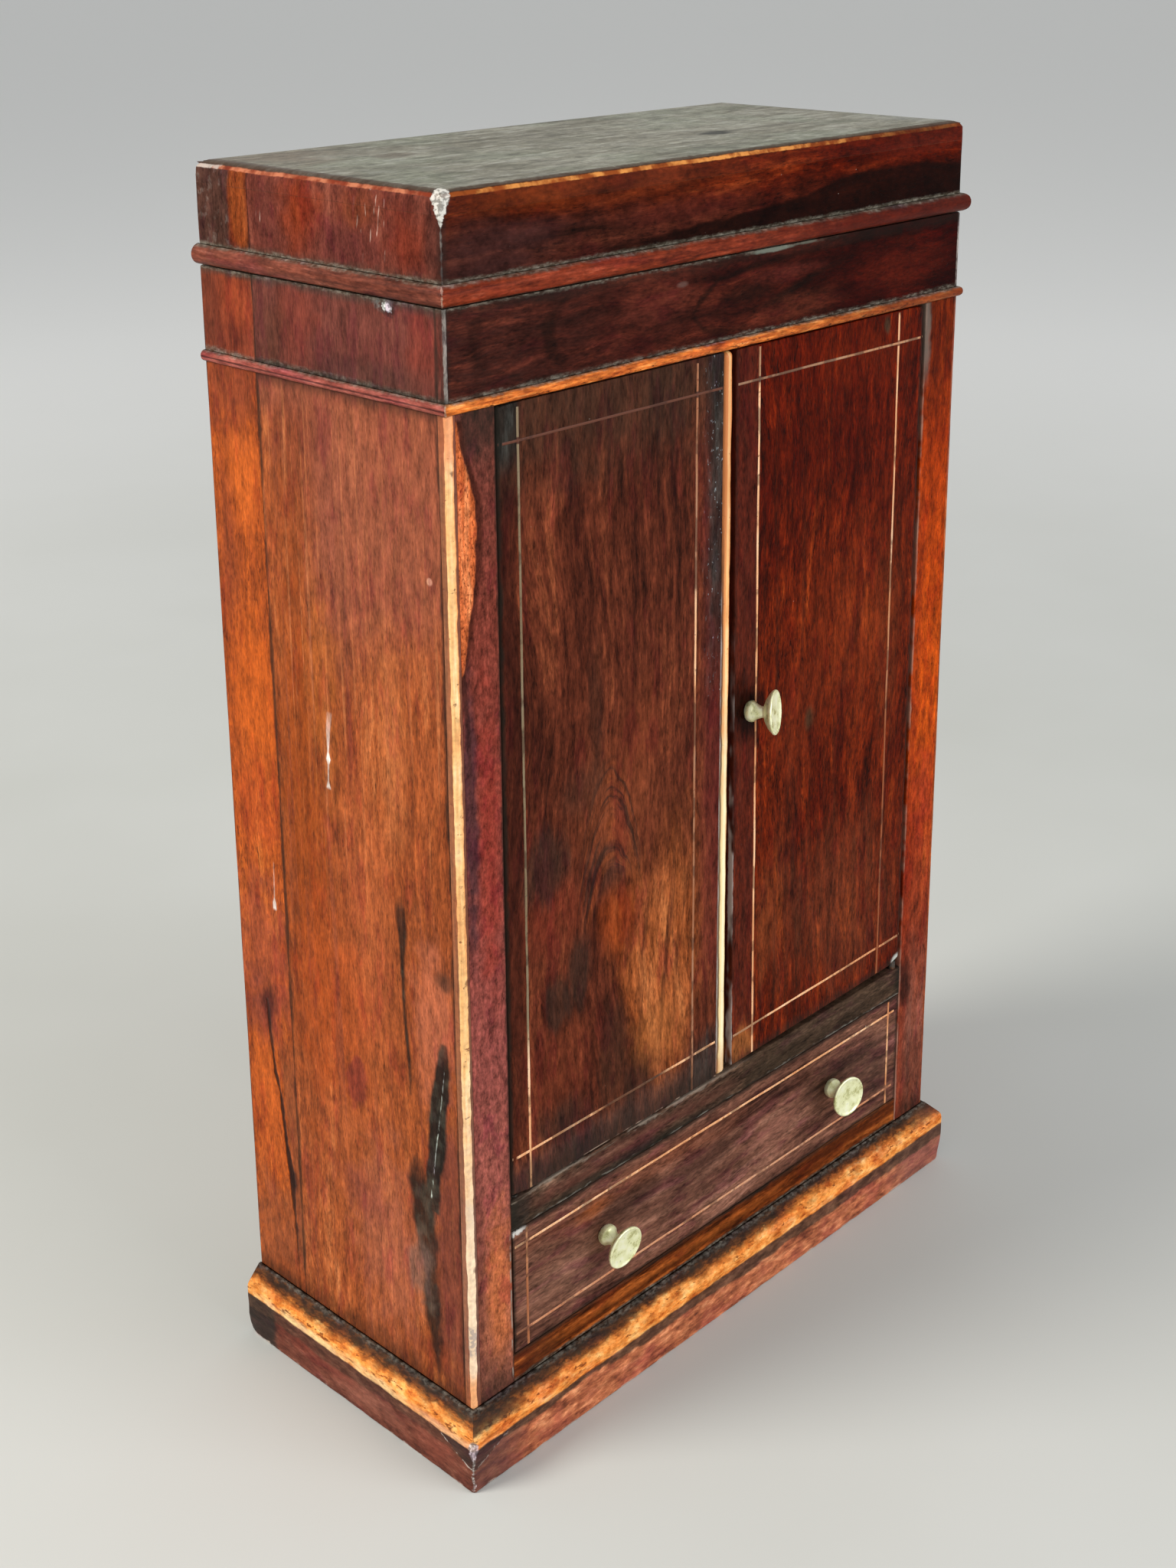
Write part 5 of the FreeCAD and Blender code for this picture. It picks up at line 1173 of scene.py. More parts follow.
def lid_side_wood(net, marked):
    """Upright grain in three blocks from the back: dark, an orange strip, and a long red-brown one."""
    y, z = net.y, net.z
    wobble = net.cloud(6.0, 47.0, 3.0)
    grain = net.grain(z, y, net.x, 47.0 if marked else 73.0, 9.0, 1.0, 50.0)
    tone, height = net.wood(grain, four((76, 33, 25), (100, 48, 37), (112, 56, 44), (136, 76, 58)), 0.6, 0.5)
    tone = net.patches(tone, y, z, wobble, [
        ((4.0, 328.0), (7.0, 8.0), 0.7, (128, 50, 22), 0.75), ((-12.0, 321.0), (12.0, 6.0), 0.7, (88, 42, 38), 0.7),
        ((-16.0, 331.0), (8.0, 4.0), 0.7, (118, 58, 34), 0.6), ((-34.0, 325.0), (7.0, 6.0), 0.7, (112, 44, 28), 0.7),
        ((17.0, 324.0), (5.0, 8.0), 0.7, (84, 42, 36), 0.6), ((-42.0, 324.0), (2.5, 9.0), 0.6, (66, 40, 34), 0.6)])
    strip = net.wood(grain, four((86, 34, 14), (112, 50, 20), (128, 60, 26), (158, 84, 42)), 0.6)[0]
    strip = net.mix(strip, (96, 42, 26), y.gap(28.0).step(2.2, 3.8) * 0.6)
    block = net.wood(grain, four((50, 30, 24), (68, 42, 34), (80, 51, 42), (112, 80, 70)), 0.6, 0.8)[0]
    block = net.mix(block, (112, 96, 88), net.cloud(2.2, 46.0, 4.0).step(0.54, 0.68) * 0.45)
    tone = net.mix(tone, strip, y.waver(wobble, 0.6).step(LEAF_JOINT - 0.15, LEAF_JOINT + 0.35))
    tone = net.mix(tone, block, y.waver(wobble, 2.4).step(31.0, 32.4))
    joint = (y.gap(LEAF_JOINT) + (wobble - 0.5) * 0.6).step(0.45, 0.1)
    tone = net.mix(tone, (52, 24, 18), joint * 0.75)
    scratches = net.noise(net.scaled(net.vector(y + (z - 320.0) * 0.12, net.x, z), (1.1, 1.1, 0.16), 33.0), 1.0)
    near = net.patch(y, z, (-22.0, 328.0), (5.0, 9.0), wobble, 0.5).most(
        net.patch(y, z, (19.5, 322.0), (2.6, 4.0), wobble, 0.5))
    tone = net.mix(tone, (196, 166, 150), scratches.step(0.64, 0.7) * near * 0.5)
    foot = z.waver(net.cloud(5.0, 3.0, 3.0), 5.0).step(WIDE_HIGH + 2.4, WIDE_HIGH + 0.4)
    tone = net.mix(tone, (74, 54, 44), foot * 0.45)
    return tone, height, wobble


def lid_top_wood(net):
    """The top: grain along its length under a dull polish, its grey-green partly dust and partly a painted sheen, with
    dark streaks and a scar.
    """
    x, y = net.x, net.y
    wobble = net.cloud(7.0, 53.0, 3.0)
    # The grey-green tones are partly dust and partly a painted sheen: the pale room reflected in the polish.
    tone, height = net.wood(net.grain(x, y, net.z, 53.0, 9.0, 2.0, 50.0),
        four((84, 80, 66), (116, 112, 98), (127, 124, 110), (148, 146, 132)), 1.0, 0.35)
    # Clouds of greener grey: more of the painted sheen, with dust.
    dust_and_sheen = net.cloud(26.0, 57.0, 3.0)
    tone = net.mix(tone, (112, 118, 100), dust_and_sheen.step(0.44, 0.66) * 0.5)
    blots = net.drawn((0.12, 0.3, 0.2), 12.0, 4.0, 0.66)
    tone = net.mix(tone, (66, 64, 52), blots.step(0.54, 0.66) * 0.65)
    tone = net.mix(tone, (158, 157, 146), blots.step(0.47, 0.36) * 0.5)
    tone = net.patches(tone, x, y, wobble, [
        ((-86.0, 32.0), (16.0, 13.0), 0.8, (104, 88, 74), 0.6), ((-62.0, 13.0), (6.0, 4.0), 0.6, (94, 84, 72), 0.7),
        ((-48.0, 7.0), (8.0, 5.0), 0.6, (90, 90, 76), 0.7), ((-14.0, 5.0), (12.0, 4.0), 0.6, (94, 92, 76), 0.6),
        ((-60.0, -22.0), (6.0, 3.0), 0.6, (84, 82, 68), 0.7), ((70.0, -21.0), (10.0, 3.0), 0.6, (86, 88, 72), 0.7),
        ((29.0, -13.5), (5.0, 3.2), 0.4, (26, 25, 18), 0.97), ((94.0, -30.0), (6.0, 12.0), 0.8, (120, 122, 118), 0.5)])
    tone = net.mix(tone, PALE, net.specks(12.0, 0.26, 0.14, 3.0) * 0.8)
    return tone, height, wobble


def lid_wear(net, tone):
    """What time does to the lid's outside: dust over the bead, rubbed upright arrises, a chipped near corner."""
    x, y, z = net.x, net.y, net.z
    outside = net.ny.step(0.6, 0.4) * x.abs().step(HALF - 2.0, HALF - 1.0).most((y - FRONT).step(2.0, 1.0))
    outside = outside * net.nz.step(-0.7, -0.5) * z.step(WIDE_HIGH - 1.2, WIDE_HIGH - 0.8)
    tone = net.mix(tone, net.dust(), net.settled(z - WIDE_HIGH, 0.8) * outside * 0.75)
    outer = (x + HALF).abs().most((y - FRONT).abs())
    below = z.step(LID_PEAK - 4.0, LID_PEAK - 7.0)
    tone = net.mix(tone, net.rubbed(tone, outer), below)
    jagged = (net.cloud(1.1, 4.0, 4.0) - 0.5) * 1.9
    chip = ((z - (LID_PEAK - 8.5)) * 0.46 - outer + jagged).step(-0.2, 0.2) * z.step(LID_PEAK - 9.0, LID_PEAK - 7.5)
    chips = net.mix((150, 146, 138), (226, 222, 212), net.cloud(0.9, 5.0, 3.0).step(0.4, 0.56))
    return net.mix(tone, chips, chip * 0.9)


def top_arris(net, tone, wobble):
    """The worn line where the top turns down: orange at the front, orange and pink at the left."""
    x, y, z = net.x, net.y, net.z
    turn = (z - LID_PEAK + 1.15 + (net.cloud(11.0, 61.0) - 0.5) * 0.5).abs()
    fade = x.waver(wobble, 50.0).step(80.0, 10.0)
    on_front = (y - FRONT).step(3.2, 2.2)
    on_side = (x + HALF).step(3.6, 2.6)
    ragged = net.cloud(1.6, 63.0, 4.0) - 0.5
    edge = ((x + HALF) - (y - FRONT) * 0.022 + ragged * 3.0).step(3.6, 2.2).most(
        (y - FRONT + ragged * 2.4).step(2.8, 1.6))
    tone = net.mix(tone, (60, 34, 23), edge * (z - LID_PEAK + 0.9).step(-0.2, 0.2) * 0.75)
    breaks = net.cloud(2.2, 65.0, 4.0).step(0.36, 0.48)
    tone = net.mix(tone, net.mix((150, 74, 30), (228, 150, 76), net.cloud(5.0, 3.0, 4.0).step(0.4, 0.6)),
                   (turn + ragged * 0.4).step(0.6, 0.3) * on_front * (fade * 0.75 + 0.15) * (breaks * 0.3 + 0.7))
    pink = net.mix((132, 52, 28), (208, 128, 92), net.cloud(4.0, 6.0, 4.0).step(0.36, 0.66))
    pink = net.mix(pink, (206, 200, 190), net.patch(y, x, (41.0, -98.0), (5.0, 5.0), ragged + 0.5, 0.5) * 0.8)
    return net.mix(tone, pink, (turn + ragged * 0.4).step(0.55, 0.25) * on_side * (breaks * 0.2 + 0.8) * 0.8)


def lid_wall(name, facing):
    """A wall of the lid: figured outside, plain inside and on its lower edge."""
    net = Net(name)
    side, height, wobble = lid_side_wood(net, facing == "left")
    if facing in ("front", "back"):
        face, height, wobble = lid_front_wood(net)
        tone = net.mix(face, side, net.nx.abs().step(0.6, 0.8))
        inward = net.ny if facing == "front" else net.ny * -1.0
    else:
        tone = side
        inward = net.nx if facing == "left" else net.nx * -1.0
    tone = net.mix(tone, net.mix((104, 58, 34), (134, 82, 50), wobble), inward.most(net.nz * -1.0).step(0.4, 0.7))
    tone, height, roughness = aged(net, tone, height, 0.36, None, 0.0, 0.14, 1.1, OVER_LID)
    tone = lid_wear(net, tone)
    return net.finish(tone, roughness, height, 0.07, 0.02)


def lid_top():
    """Four looks met by the way each face turns: top, front, side and the bare underside."""
    net = Net("rosewood_lid_top")
    top, height, wobble = lid_top_wood(net)
    front = lid_front_wood(net)[0]
    side = lid_side_wood(net, True)[0]
    tone = net.mix(front, side, (net.nx.abs() - net.ny.abs()).step(-0.05, 0.05))
    tone, height, roughness = aged(net, tone, height, 0.36, None, 0.0, 0.14, 1.1, OVER_LID)
    clouded = net.drawn((0.22, 0.45, 0.45), 71.0, 5.0, 0.66)
    top = net.shade(top, 1.02 + (clouded - 0.5) * 1.8 + (net.cloud(0.8, 73.0, 3.0) - 0.5) * 0.8)
    tone = net.mix(tone, top, net.nz.step(0.72, 0.86))
    tone = net.mix(tone, BARE, (net.nz * -1.0).step(0.5, 0.8))
    tone = top_arris(net, tone, wobble)
    tone = lid_wear(net, tone)
    return net.finish(tone, roughness, height, 0.06, 0.035)


def ledge(net):
    """For a moulding: 1 on the sides and 0 on the front, and the distance along either."""
    side = (net.x.abs() - HALF).step(0.0, 0.4) * (net.nx.abs() - net.ny.abs()).step(-0.1, 0.1)
    return side, net.x * (1.0 - side) + net.y * side


def mitre(net, reach):
    """The near mitre's outer arris, as distance from it; far away elsewhere."""
    x, y = net.x, net.y
    off = ((x + HALF) - (y - FRONT)).abs()
    return off + (x + HALF + reach).step(reach * 0.6, reach * 1.4) * 9.0


def plinth():
    """Orange, black-flecked slope and round; a dark wavy band and red-brown wood on the face."""
    net = Net("rosewood_plinth")
    x, y, z = net.x, net.y, net.z
    wobble = net.cloud(6.0, 59.0, 3.0)
    small = net.cloud(1.6, 5.0, 3.0)
    side, run = ledge(net)
    front = 1.0 - side
    lay = net.vector(run, z, 0.0)
    streak = net.noise(net.scaled(lay, (0.06, 0.36, 1.0), 1.0), 4.0, 0.65, 0.4)
    mottle = net.noise(net.scaled(lay, (0.16, 0.36, 1.0), 9.0), 5.0, 0.7)
    face = net.colours(0.5 + (streak - 0.5) * 0.9 + (mottle - 0.5) * 1.7,
        four((100, 50, 35), (158, 88, 58), (188, 112, 74), (226, 152, 106)))
    reddish = net.cloud(12.0, 14.0, 3.0).step(0.48, 0.66)
    face = net.mix(face, (164, 82, 66), reddish * 0.5)
    face = net.mix(face, (136, 84, 74), x.waver(wobble, 16.0).step(70.0, 88.0) * front * 0.7)
    face = net.mix(face, (84, 54, 52), x.waver(wobble, 16.0).step(-80.0, -96.0) * front * 0.8)
    flank = net.colours(0.5 + (streak - 0.5) * 0.8 + (mottle - 0.5) * 1.4,
        four((66, 34, 27), (102, 54, 41), (116, 65, 50), (154, 98, 78)))
    flank = net.patches(flank, y, z, wobble, [
        ((-6.0, 6.0), (12.0, 3.4), 0.6, (154, 96, 78), 0.6), ((14.0, 8.0), (14.0, 3.0), 0.7, (116, 50, 38), 0.6),
        ((-34.0, 7.0), (8.0, 4.0), 0.7, (138, 72, 56), 0.6)])
    block = y.waver(wobble, 4.0).step(31.0, 34.0)
    flank = net.mix(flank, (40, 37, 33), block * 0.88)
    face = net.mix(face, flank, side)
    wave = net.noise(net.scaled(lay, (0.022, 0.0, 1.0), 4.0), 2.0, 0.5)
    thin = x.waver(wobble, 20.0).step(-36.0, -60.0) * front * 3.0
    band = (z - (5.6 + wave * 6.0) - thin + (wobble - 0.5) * 2.0).step(-0.5, 0.5)
    dark = net.mix((58, 42, 31), (96, 70, 54), mottle.step(0.4, 0.65))
    face = net.mix(face, dark, band * (0.88 - side * 0.3))
    from_corner = (x + HALF + PLINTH_REACH) * front + (y - FRONT + PLINTH_REACH) * side
    facet = (z - 6.8 - from_corner * 0.44 + (small - 0.5) * 0.8).step(-0.2, 0.2) * from_corner.step(14.0, 12.0)
    face = net.mix(face, (56, 42, 39), facet * 0.7)
    rim = (z - 6.8 - from_corner * 0.44 + (small - 0.5) * 1.8).abs().step(0.42, 0.1) * from_corner.step(14.0, 12.0)
    face = net.mix(face, (186, 176, 164), rim * net.cloud(2.0, 7.0, 3.0).step(0.44, 0.54) * (side * 0.5 + 0.3))
    tick = net.noise(net.scaled(net.vector(run + z * 0.5, net.x * 0.3, z), (0.3, 0.5, 1.1), 7.0), 4.0, 0.65)
    sap = net.colours(0.5 + (streak - 0.5) * 0.7 + (mottle - 0.5) * 1.7, SAP)
    cream = side * z.waver(wobble, 3.0).step(16.0, 14.4) * net.cloud(12.0, 9.0, 3.0).step(0.34, 0.56)
    sap = net.mix(sap, (255, 222, 162), cream * y.step(-36.0, -14.0) * 0.7)
    sap = net.mix(sap, (232, 176, 136), side * y.step(-18.0, -38.0) * z.step(16.0, 14.0) * 0.7)
    sap = net.mix(sap, (104, 46, 14), tick.step(0.56, 0.66) * z.step(13.8, 15.2) * 0.85)
    slope = net.colours(0.5 + (tick - 0.5) * 1.7, [
        (0.3, (28, 16, 10)), (0.46, (72, 38, 18)), (0.6, (140, 76, 28)), (0.8, (206, 122, 50))])
    level = z + (wobble - 0.5) * 2.4 + (net.cloud(18.0, 3.0) - 0.5) * 3.0 + (tick - 0.5) * 3.0
    upper = net.mix(sap, slope, level.step(16.8, 18.4) * 0.95)
    dark = level.step(18.2, 19.6) * (front * 0.1 + 0.75)
    shade = x.waver(wobble, 8.0).step(-82.0, -92.0) * front * level.step(15.4, 16.8)
    upper = net.mix(upper, (40, 30, 24), dark.most(shade * 0.85))
    right = x.waver(wobble, 8.0).step(86.0, 98.0) * level.step(15.6, 17.4)
    upper = net.mix(upper, (92, 60, 42), right * 0.7)
    tone = net.mix(face, upper, z.waver(wobble, 1.4).step(12.7, 13.4))
    tone = net.mix(tone, net.dust((30, 25, 20), (112, 106, 96)), net.settled(PLINTH_TOP - z, 1.0) * 0.8)
    corner = (x + HALF + PLINTH_REACH).abs().most((y - FRONT + PLINTH_REACH).abs())
    corner = corner.waver(net.cloud(1.2, 2.0, 3.0), 1.8)
    flare = (z.step(9.5, 13.5) * 1.5) * z.step(16.5, 13.8) + z.step(19.5, 14.0) * 0.5
    chips = net.mix((128, 122, 116), (224, 216, 208), net.cloud(0.8, 4.0).step(0.42, 0.6))
    tone = net.mix(tone, chips, (flare - corner).step(-0.25, 0.35) * 0.85)
    foot = z.waver(wobble, 2.2).step(0.9, 0.3) * net.cloud(8.0, 8.0, 3.0).step(0.5, 0.6)
    tone = net.mix(tone, (216, 198, 182), foot * (side * 0.4 + 0.4))
    height = mottle * 0.5 - tick.step(0.57, 0.68) * 0.5
    tone, height, roughness = aged(net, tone, height, 0.42, None, 0.0, 0.08, 0.8, LEVEL)
    return net.finish(tone, roughness, height, 0.1, 0.06)


def thin_bead():
    """Bright orange at the front, pinkish red with a dark groove on the sides, dust on top and painted shade
    underneath.
    """
    net = Net("rosewood_thin_bead")
    x, z = net.x, net.z
    wobble = net.cloud(5.0, 71.0, 3.0)
    side, run = ledge(net)
    streak = net.noise(net.scaled(net.vector(run, z, 0.0), (0.12, 1.1, 1.0), 2.0), 4.0, 0.65)
    tick = net.noise(net.scaled(net.vector(run, z, 0.0), (0.5, 1.5, 1.0), 5.0), 3.0, 0.65)
    front = net.colours(0.5 + (streak - 0.5) * 1.6, [
        (0.22, (138, 60, 18)), (0.42, (192, 98, 38)), (0.6, (214, 118, 48)), (0.86, (250, 170, 96))])
    right = x.waver(wobble, 40.0).step(0.0, 80.0)
    front = net.mix(front, (104, 44, 17), right * 0.85)
    front = net.mix(front, (60, 26, 13), tick.step(0.55, 0.66) * z.waver(wobble, 2.0).step(288.8, 287.6) * 0.9)
    flank = net.colours(0.5 + (streak - 0.5) * 1.2, [
        (0.22, (104, 40, 34)), (0.45, (146, 74, 62)), (0.62, (168, 92, 80)), (0.86, (202, 136, 122))])
    groove = (z.gap(THIN_LOW + 1.4) + (wobble - 0.5) * 0.3).step(0.34, 0.1)
    flank = net.mix(flank, (58, 26, 24), groove * 0.8)
    tone = net.mix(front, flank, side)
    tone = net.mix(tone, net.dust(), net.settled(THIN_HIGH - z, 0.5) * 0.8)
    # Painted shade on the bead's underside, where the round turns in to the wall.
    under = z.waver(wobble, 0.6).step(THIN_LOW + 0.5, THIN_LOW + 0.12)
    tone = net.mix(tone, (50, 30, 20), under * 0.85)
    worn = mitre(net, THIN_REACH) + (net.cloud(1.0, 2.0, 3.0) - 0.5) * 1.6
    tone = net.mix(tone, (196, 168, 146), worn.step(0.3, 0.1) * 0.65)
    tone, height, roughness = aged(net, tone, streak - tick, 0.38, None, 0.0, 0.05, 1.0, LEVEL)
    return net.finish(tone, roughness, height, 0.06, 0.06)


def wide_bead():
    """The lid's bead: red-brown and darker to the right at the front, browner at the sides, painted shade underneath.
    """
    net = Net("rosewood_lid_bead")
    x, z = net.x, net.z
    wobble = net.cloud(6.0, 79.0, 3.0)
    side, run = ledge(net)
    streak = net.noise(net.scaled(net.vector(run, z, 0.0), (0.05, 0.6, 1.0), 3.0), 3.0, 0.6, 0.3)
    fleck = net.noise(net.scaled(net.vector(run, z, 0.0), (0.2, 1.2, 1.0), 6.0), 4.0, 0.65)
    front = net.colours(0.5 + (streak - 0.5) * 1.0 + (fleck - 0.5) * 0.9,
        four((72, 20, 8), (116, 44, 22), (136, 54, 30), (172, 84, 56)))
    front = net.mix(front, (66, 10, 1), x.waver(wobble, 50.0).step(-40.0, 60.0) * 0.9)
    flank = net.colours(0.5 + (streak - 0.5) * 0.9 + (fleck - 0.5) * 0.9,
        four((74, 34, 24), (104, 52, 38), (122, 64, 48), (160, 98, 80)))
    tone = net.mix(front, flank, side)
    tone = net.mix(tone, net.dust(), net.settled(WIDE_HIGH - z, 0.7) * 0.8)
    # Painted shade on the bead's underside, where the round turns in to the wall.
    under = z.waver(wobble, 1.0).step(LID_LOW + 0.7, LID_LOW + 0.15)
    tone = net.mix(tone, (48, 36, 28), under * 0.8)
    worn = mitre(net, WIDE_REACH) + (net.cloud(1.2, 2.0, 3.0) - 0.5) * 1.6
    tone = net.mix(tone, (190, 156, 136), worn.step(0.3, 0.1) * 0.6)
    tone, height, roughness = aged(net, tone, streak + fleck * 0.5, 0.38, None, 0.0, 0.06, 1.0, LEVEL)
    return net.finish(tone, roughness, height, 0.06, 0.06)


def boxwood(name, stops, nicks):
    """Boxwood let into rosewood: fine grain, brown nicks and darker stretches."""
    net = Net(name)
    fine = net.drawn((1.6, 1.6, 0.09), 2.0, 3.0, 0.6)
    slow = net.cloud(20.0, 3.0, 3.0)
    tone = net.colours(0.5 + (fine - 0.5) * 0.9 + (slow - 0.5) * 1.1, stops)
    nick = net.drawn((0.5, 0.5, 0.75), 4.0, 3.0, 0.65).step(0.66 - nicks, 0.74 - nicks)
    tone = net.mix(tone, (112, 60, 34), nick * 0.8)
    return net, tone, fine - nick * 1.5


def line_wood(name, dulled):
    """Thin boxwood lines: cream where rubbed bright, and dulled as dulled(net) gives, (tone, strength) each."""
    net, tone, height = boxwood(name, [
        (0.2, (196, 124, 78)), (0.42, (228, 162, 112)), (0.6, (240, 184, 138)), (0.86, (252, 214, 176))], 0.03)
    for shade, strength in dulled(net):
        tone = net.mix(tone, shade, strength)
    roughness = 0.4 + (net.cloud(5.0, 3.0) - 0.5) * 0.2
    return net.finish(tone, roughness, height, 0.04, 0.15)


def from_line(net, panel, way, end):
    """Distance from a line of a panel: an upright or a level one, at its lower (0) or its upper (1) end."""
    axis, place = (net.x, 0) if way == "upright" else (net.z, 2)
    node = "drawer_front" if panel == "drawer" else panel + "_panel"
    return axis.gap(span(node)[end][place] + LINES[panel][way][end])


def door_lines():
    """Where each of the doors' lines has darkened: most of them above, and the left door's lower right."""
    foot = span("left_door_panel")[0][2]

    def dulled(net):
        x, z = net.x, net.z
        slow = (net.cloud(14.0, 4.0, 3.0) - 0.5) * 40.0
        level_low = from_line(net, "left_door", "level", 0).step(1.0, 0.6)
        level_high = from_line(net, "left_door", "level", 1).step(1.0, 0.6)
        on_left = x.step(0.0, -1.0)
        outer = from_line(net, "left_door", "upright", 0).step(1.2, 0.9)
        inner = from_line(net, "left_door", "upright", 1).step(1.2, 0.9)
        far = from_line(net, "right_door", "upright", 1).step(1.2, 0.9)
        upright_end = (z + slow * 0.1).step(foot + 11.0, foot + 7.0)
        gap = x.step(-53.0, -48.0) * x.step(-22.0, -28.0)
        between = (z + slow).step(196.0, 204.0) * (z + slow).step(232.0, 224.0)
        breaks = net.cloud(7.0, 9.0, 3.0).step(0.52, 0.6)
        thinned = from_line(net, "left_door", "level", 1).step(0.2, 0.36) * level_high
        return [
            ((92, 90, 70), outer * (z + slow * 0.4).step(112.0, 122.0) * 0.85),
            ((122, 62, 38), inner * (1.0 - between) * 0.75),
            ((96, 54, 38), level_high * (on_left * 0.34 + x.step(62.0, 20.0) * 0.24 + 0.54)),
            ((62, 32, 22), thinned * 0.7),
            ((72, 42, 28), level_low * on_left * gap * 0.9),
            ((138, 70, 36), far * (z + slow).step(236.0, 150.0) * 0.8 + far * 0.15),
            ((86, 60, 40), upright_end * on_left * 0.6),
            ((58, 32, 22), breaks * 0.6)]

    return line_wood("boxwood_door_lines", dulled)


def drawer_lines():
    """The drawer's lines: darker at the left and a little along the foot."""
    def dulled(net):
        left = from_line(net, "drawer", "upright", 0).step(1.2, 0.9)
        foot = from_line(net, "drawer", "level", 0).step(1.0, 0.6)
        breaks = net.cloud(6.0, 14.0, 3.0).step(0.54, 0.62)
        return [((128, 66, 40), left * 0.6), ((176, 112, 88), foot * 0.5), ((62, 38, 28), breaks * 0.6)]
    return line_wood("boxwood_drawer_lines", dulled)


def corner_strip():
    """The light strip on the left front corner: greyed and nicked below, its side face brown."""
    net, tone, height = boxwood("boxwood_corner", [
        (0.2, (214, 140, 84)), (0.42, (242, 182, 116)), (0.6, (250, 198, 134)), (0.86, (255, 220, 170))], 0.03)
    x, y, z = net.x, net.y, net.z
    grime = net.cloud(4.0, 3.0, 3.0)
    small = net.cloud(1.4, 6.0, 3.0)
    tone = net.mix(tone, (234, 146, 100), z.waver(grime, 10.0).step(268.0, 279.0) * 0.75)
    tone = net.mix(tone, (252, 226, 196), z.waver(grime, 50.0).step(130.0, 60.0) * 0.75)
    tone = net.mix(tone, (240, 158, 92), z.waver(grime, 8.0).step(33.0, 27.0) * 0.8)
    worn = z + (grime - 0.5) * 16.0
    grey = (worn.step(46.0, 42.0) * worn.step(34.0, 38.0)).most(worn.step(86.0, 80.0) * worn.step(70.0, 76.0) * 0.4)
    tone = net.mix(tone, (168, 152, 142), grey * small.step(0.38, 0.54) * 0.85)
    for place, share in ((144.0, 0.7), (273.0, 0.8), (236.0, 0.4), (112.0, 0.4), (62.0, 0.5)):
        nick = net.patch(x, z, (-97.9, place), (0.9, 0.8), small, 0.5)
        tone = net.mix(tone, (88, 44, 26), nick * share)
    taper = z.step(50.0, 22.0) * 0.5
    inner = x + (net.cloud(6.0, 12.0, 4.0) - 0.5) * 1.3 + taper
    tone = net.mix(tone, (232, 140, 74), inner.step(STRIP_RIGHT - 1.3, STRIP_RIGHT - 0.95) * z.step(90.0, 240.0) * 0.7)
    tone = net.mix(tone, (96, 44, 34), inner.step(STRIP_RIGHT - 0.95, STRIP_RIGHT - 0.7) * 0.92)
    side = (y - FRONT + (net.cloud(6.0, 15.0, 4.0) - 0.5) * 1.3).step(0.75, 1.05)
    streak = net.drawn((1.1, 1.1, 0.05), 16.0, 4.0, 0.6)
    tone = net.mix(tone, net.mix((104, 48, 26), (150, 78, 44), streak.step(0.34, 0.66)), side * 0.92)
    tone = net.shade(tone, 1.0 + (small - 0.5) * 0.9)
    roughness = 0.4 + (grime - 0.5) * 0.2
    return net.finish(tone, roughness, height, 0.08, 0.2)


def bead_wood():
    """The meeting bead: pale and rubbed below, with a painted highlight down its crest there; brown towards its head
    and along its sides.
    """
    net, tone, height = boxwood("boxwood_bead", [
        (0.2, (224, 154, 92)), (0.42, (246, 190, 120)), (0.6, (252, 204, 136)), (0.86, (255, 226, 172))], 0.02)
    x, z = net.x, net.z
    low, high = span("meeting_bead")
    grime = net.cloud(4.0, 13.0, 3.0)
    pale = z.waver(grime, 60.0).step(220.0, 140.0)
    middle = (low[0] + high[0]) / 2
    flanks = (x - middle - 0.1 + (grime - 0.5) * 0.5).abs().step(0.35, 0.8)
    tone = net.mix(tone, net.mix((230, 132, 68), (255, 234, 176), pale), flanks * 0.75)
    # Painted highlight: a near-white stripe down the crest of the round bead, in its pale lower part.
    tone = net.mix(tone, (255, 246, 206), pale * (1.0 - flanks) * 0.8)
    edge = x.waver(grime, 0.9).step(high[0] - 1.05, high[0] - 0.6)
    tone = net.mix(tone, (146, 70, 32), edge * 0.85)
    left = x.waver(grime, 0.4).step(low[0] + 0.85, low[0] + 0.5)
    tone = net.mix(tone, (84, 50, 36), left * 0.85)
    line = x.waver(grime, 0.3).step(low[0] + 0.42, low[0] + 0.2) * z.step(226.0, 218.0)
    tone = net.mix(tone, (214, 204, 196), line * 0.8)
    foot = z.waver(grime, 10.0).step(low[2] + 12.0, low[2] + 2.0)
    tone = net.mix(tone, (190, 112, 60), foot * 0.5)
    head = z.waver(grime, 30.0).step(212.0, 250.0)
    tone = net.mix(tone, (196, 116, 62), head * (0.5 + flanks * 0.4))
    roughness = 0.38 + (grime - 0.5) * 0.2
    return net.finish(tone, roughness, height, 0.05, 0.2)


def brass(name, stops, roughness=0.32, tarnish=0.5, size=1.6, relief=0.02, metal=1.0):
    """Old brass: mottled from pale yellow-green to olive and brown, tarnished in spots and scratched all over."""
    net = Net(name)
    mottled = net.cloud(size, 3.0, 3.0)
    tone = net.colours(0.5 + (mottled - 0.5) * 1.2, stops)
    spots = net.cloud(size * 0.4, 9.0, 3.0).step(0.6, 0.72)
    tone = net.mix(tone, (112, 104, 52), spots * tarnish)
    scratch = net.drawn((3.0, 1.4, 2.2), 5.0, 3.0, 0.7)
    rough_value = roughness + (mottled - 0.5) * 0.25 + spots * 0.2
    return net.finish(tone, rough_value, scratch * 0.5 + mottled, relief, 0.5, metal)


def iron():
    """Dark iron with some rust, for the pivots."""
    net = Net("pivot_iron")
    rust = net.cloud(1.2, 4.0, 4.0)
    tone = net.colours(rust, [(0.35, (54, 50, 48)), (0.5, (84, 78, 72)), (0.65, (112, 74, 48))])
    return net.finish(tone, 0.5 + (rust - 0.5) * 0.4, rust, 0.05, 0.5, 0.8)


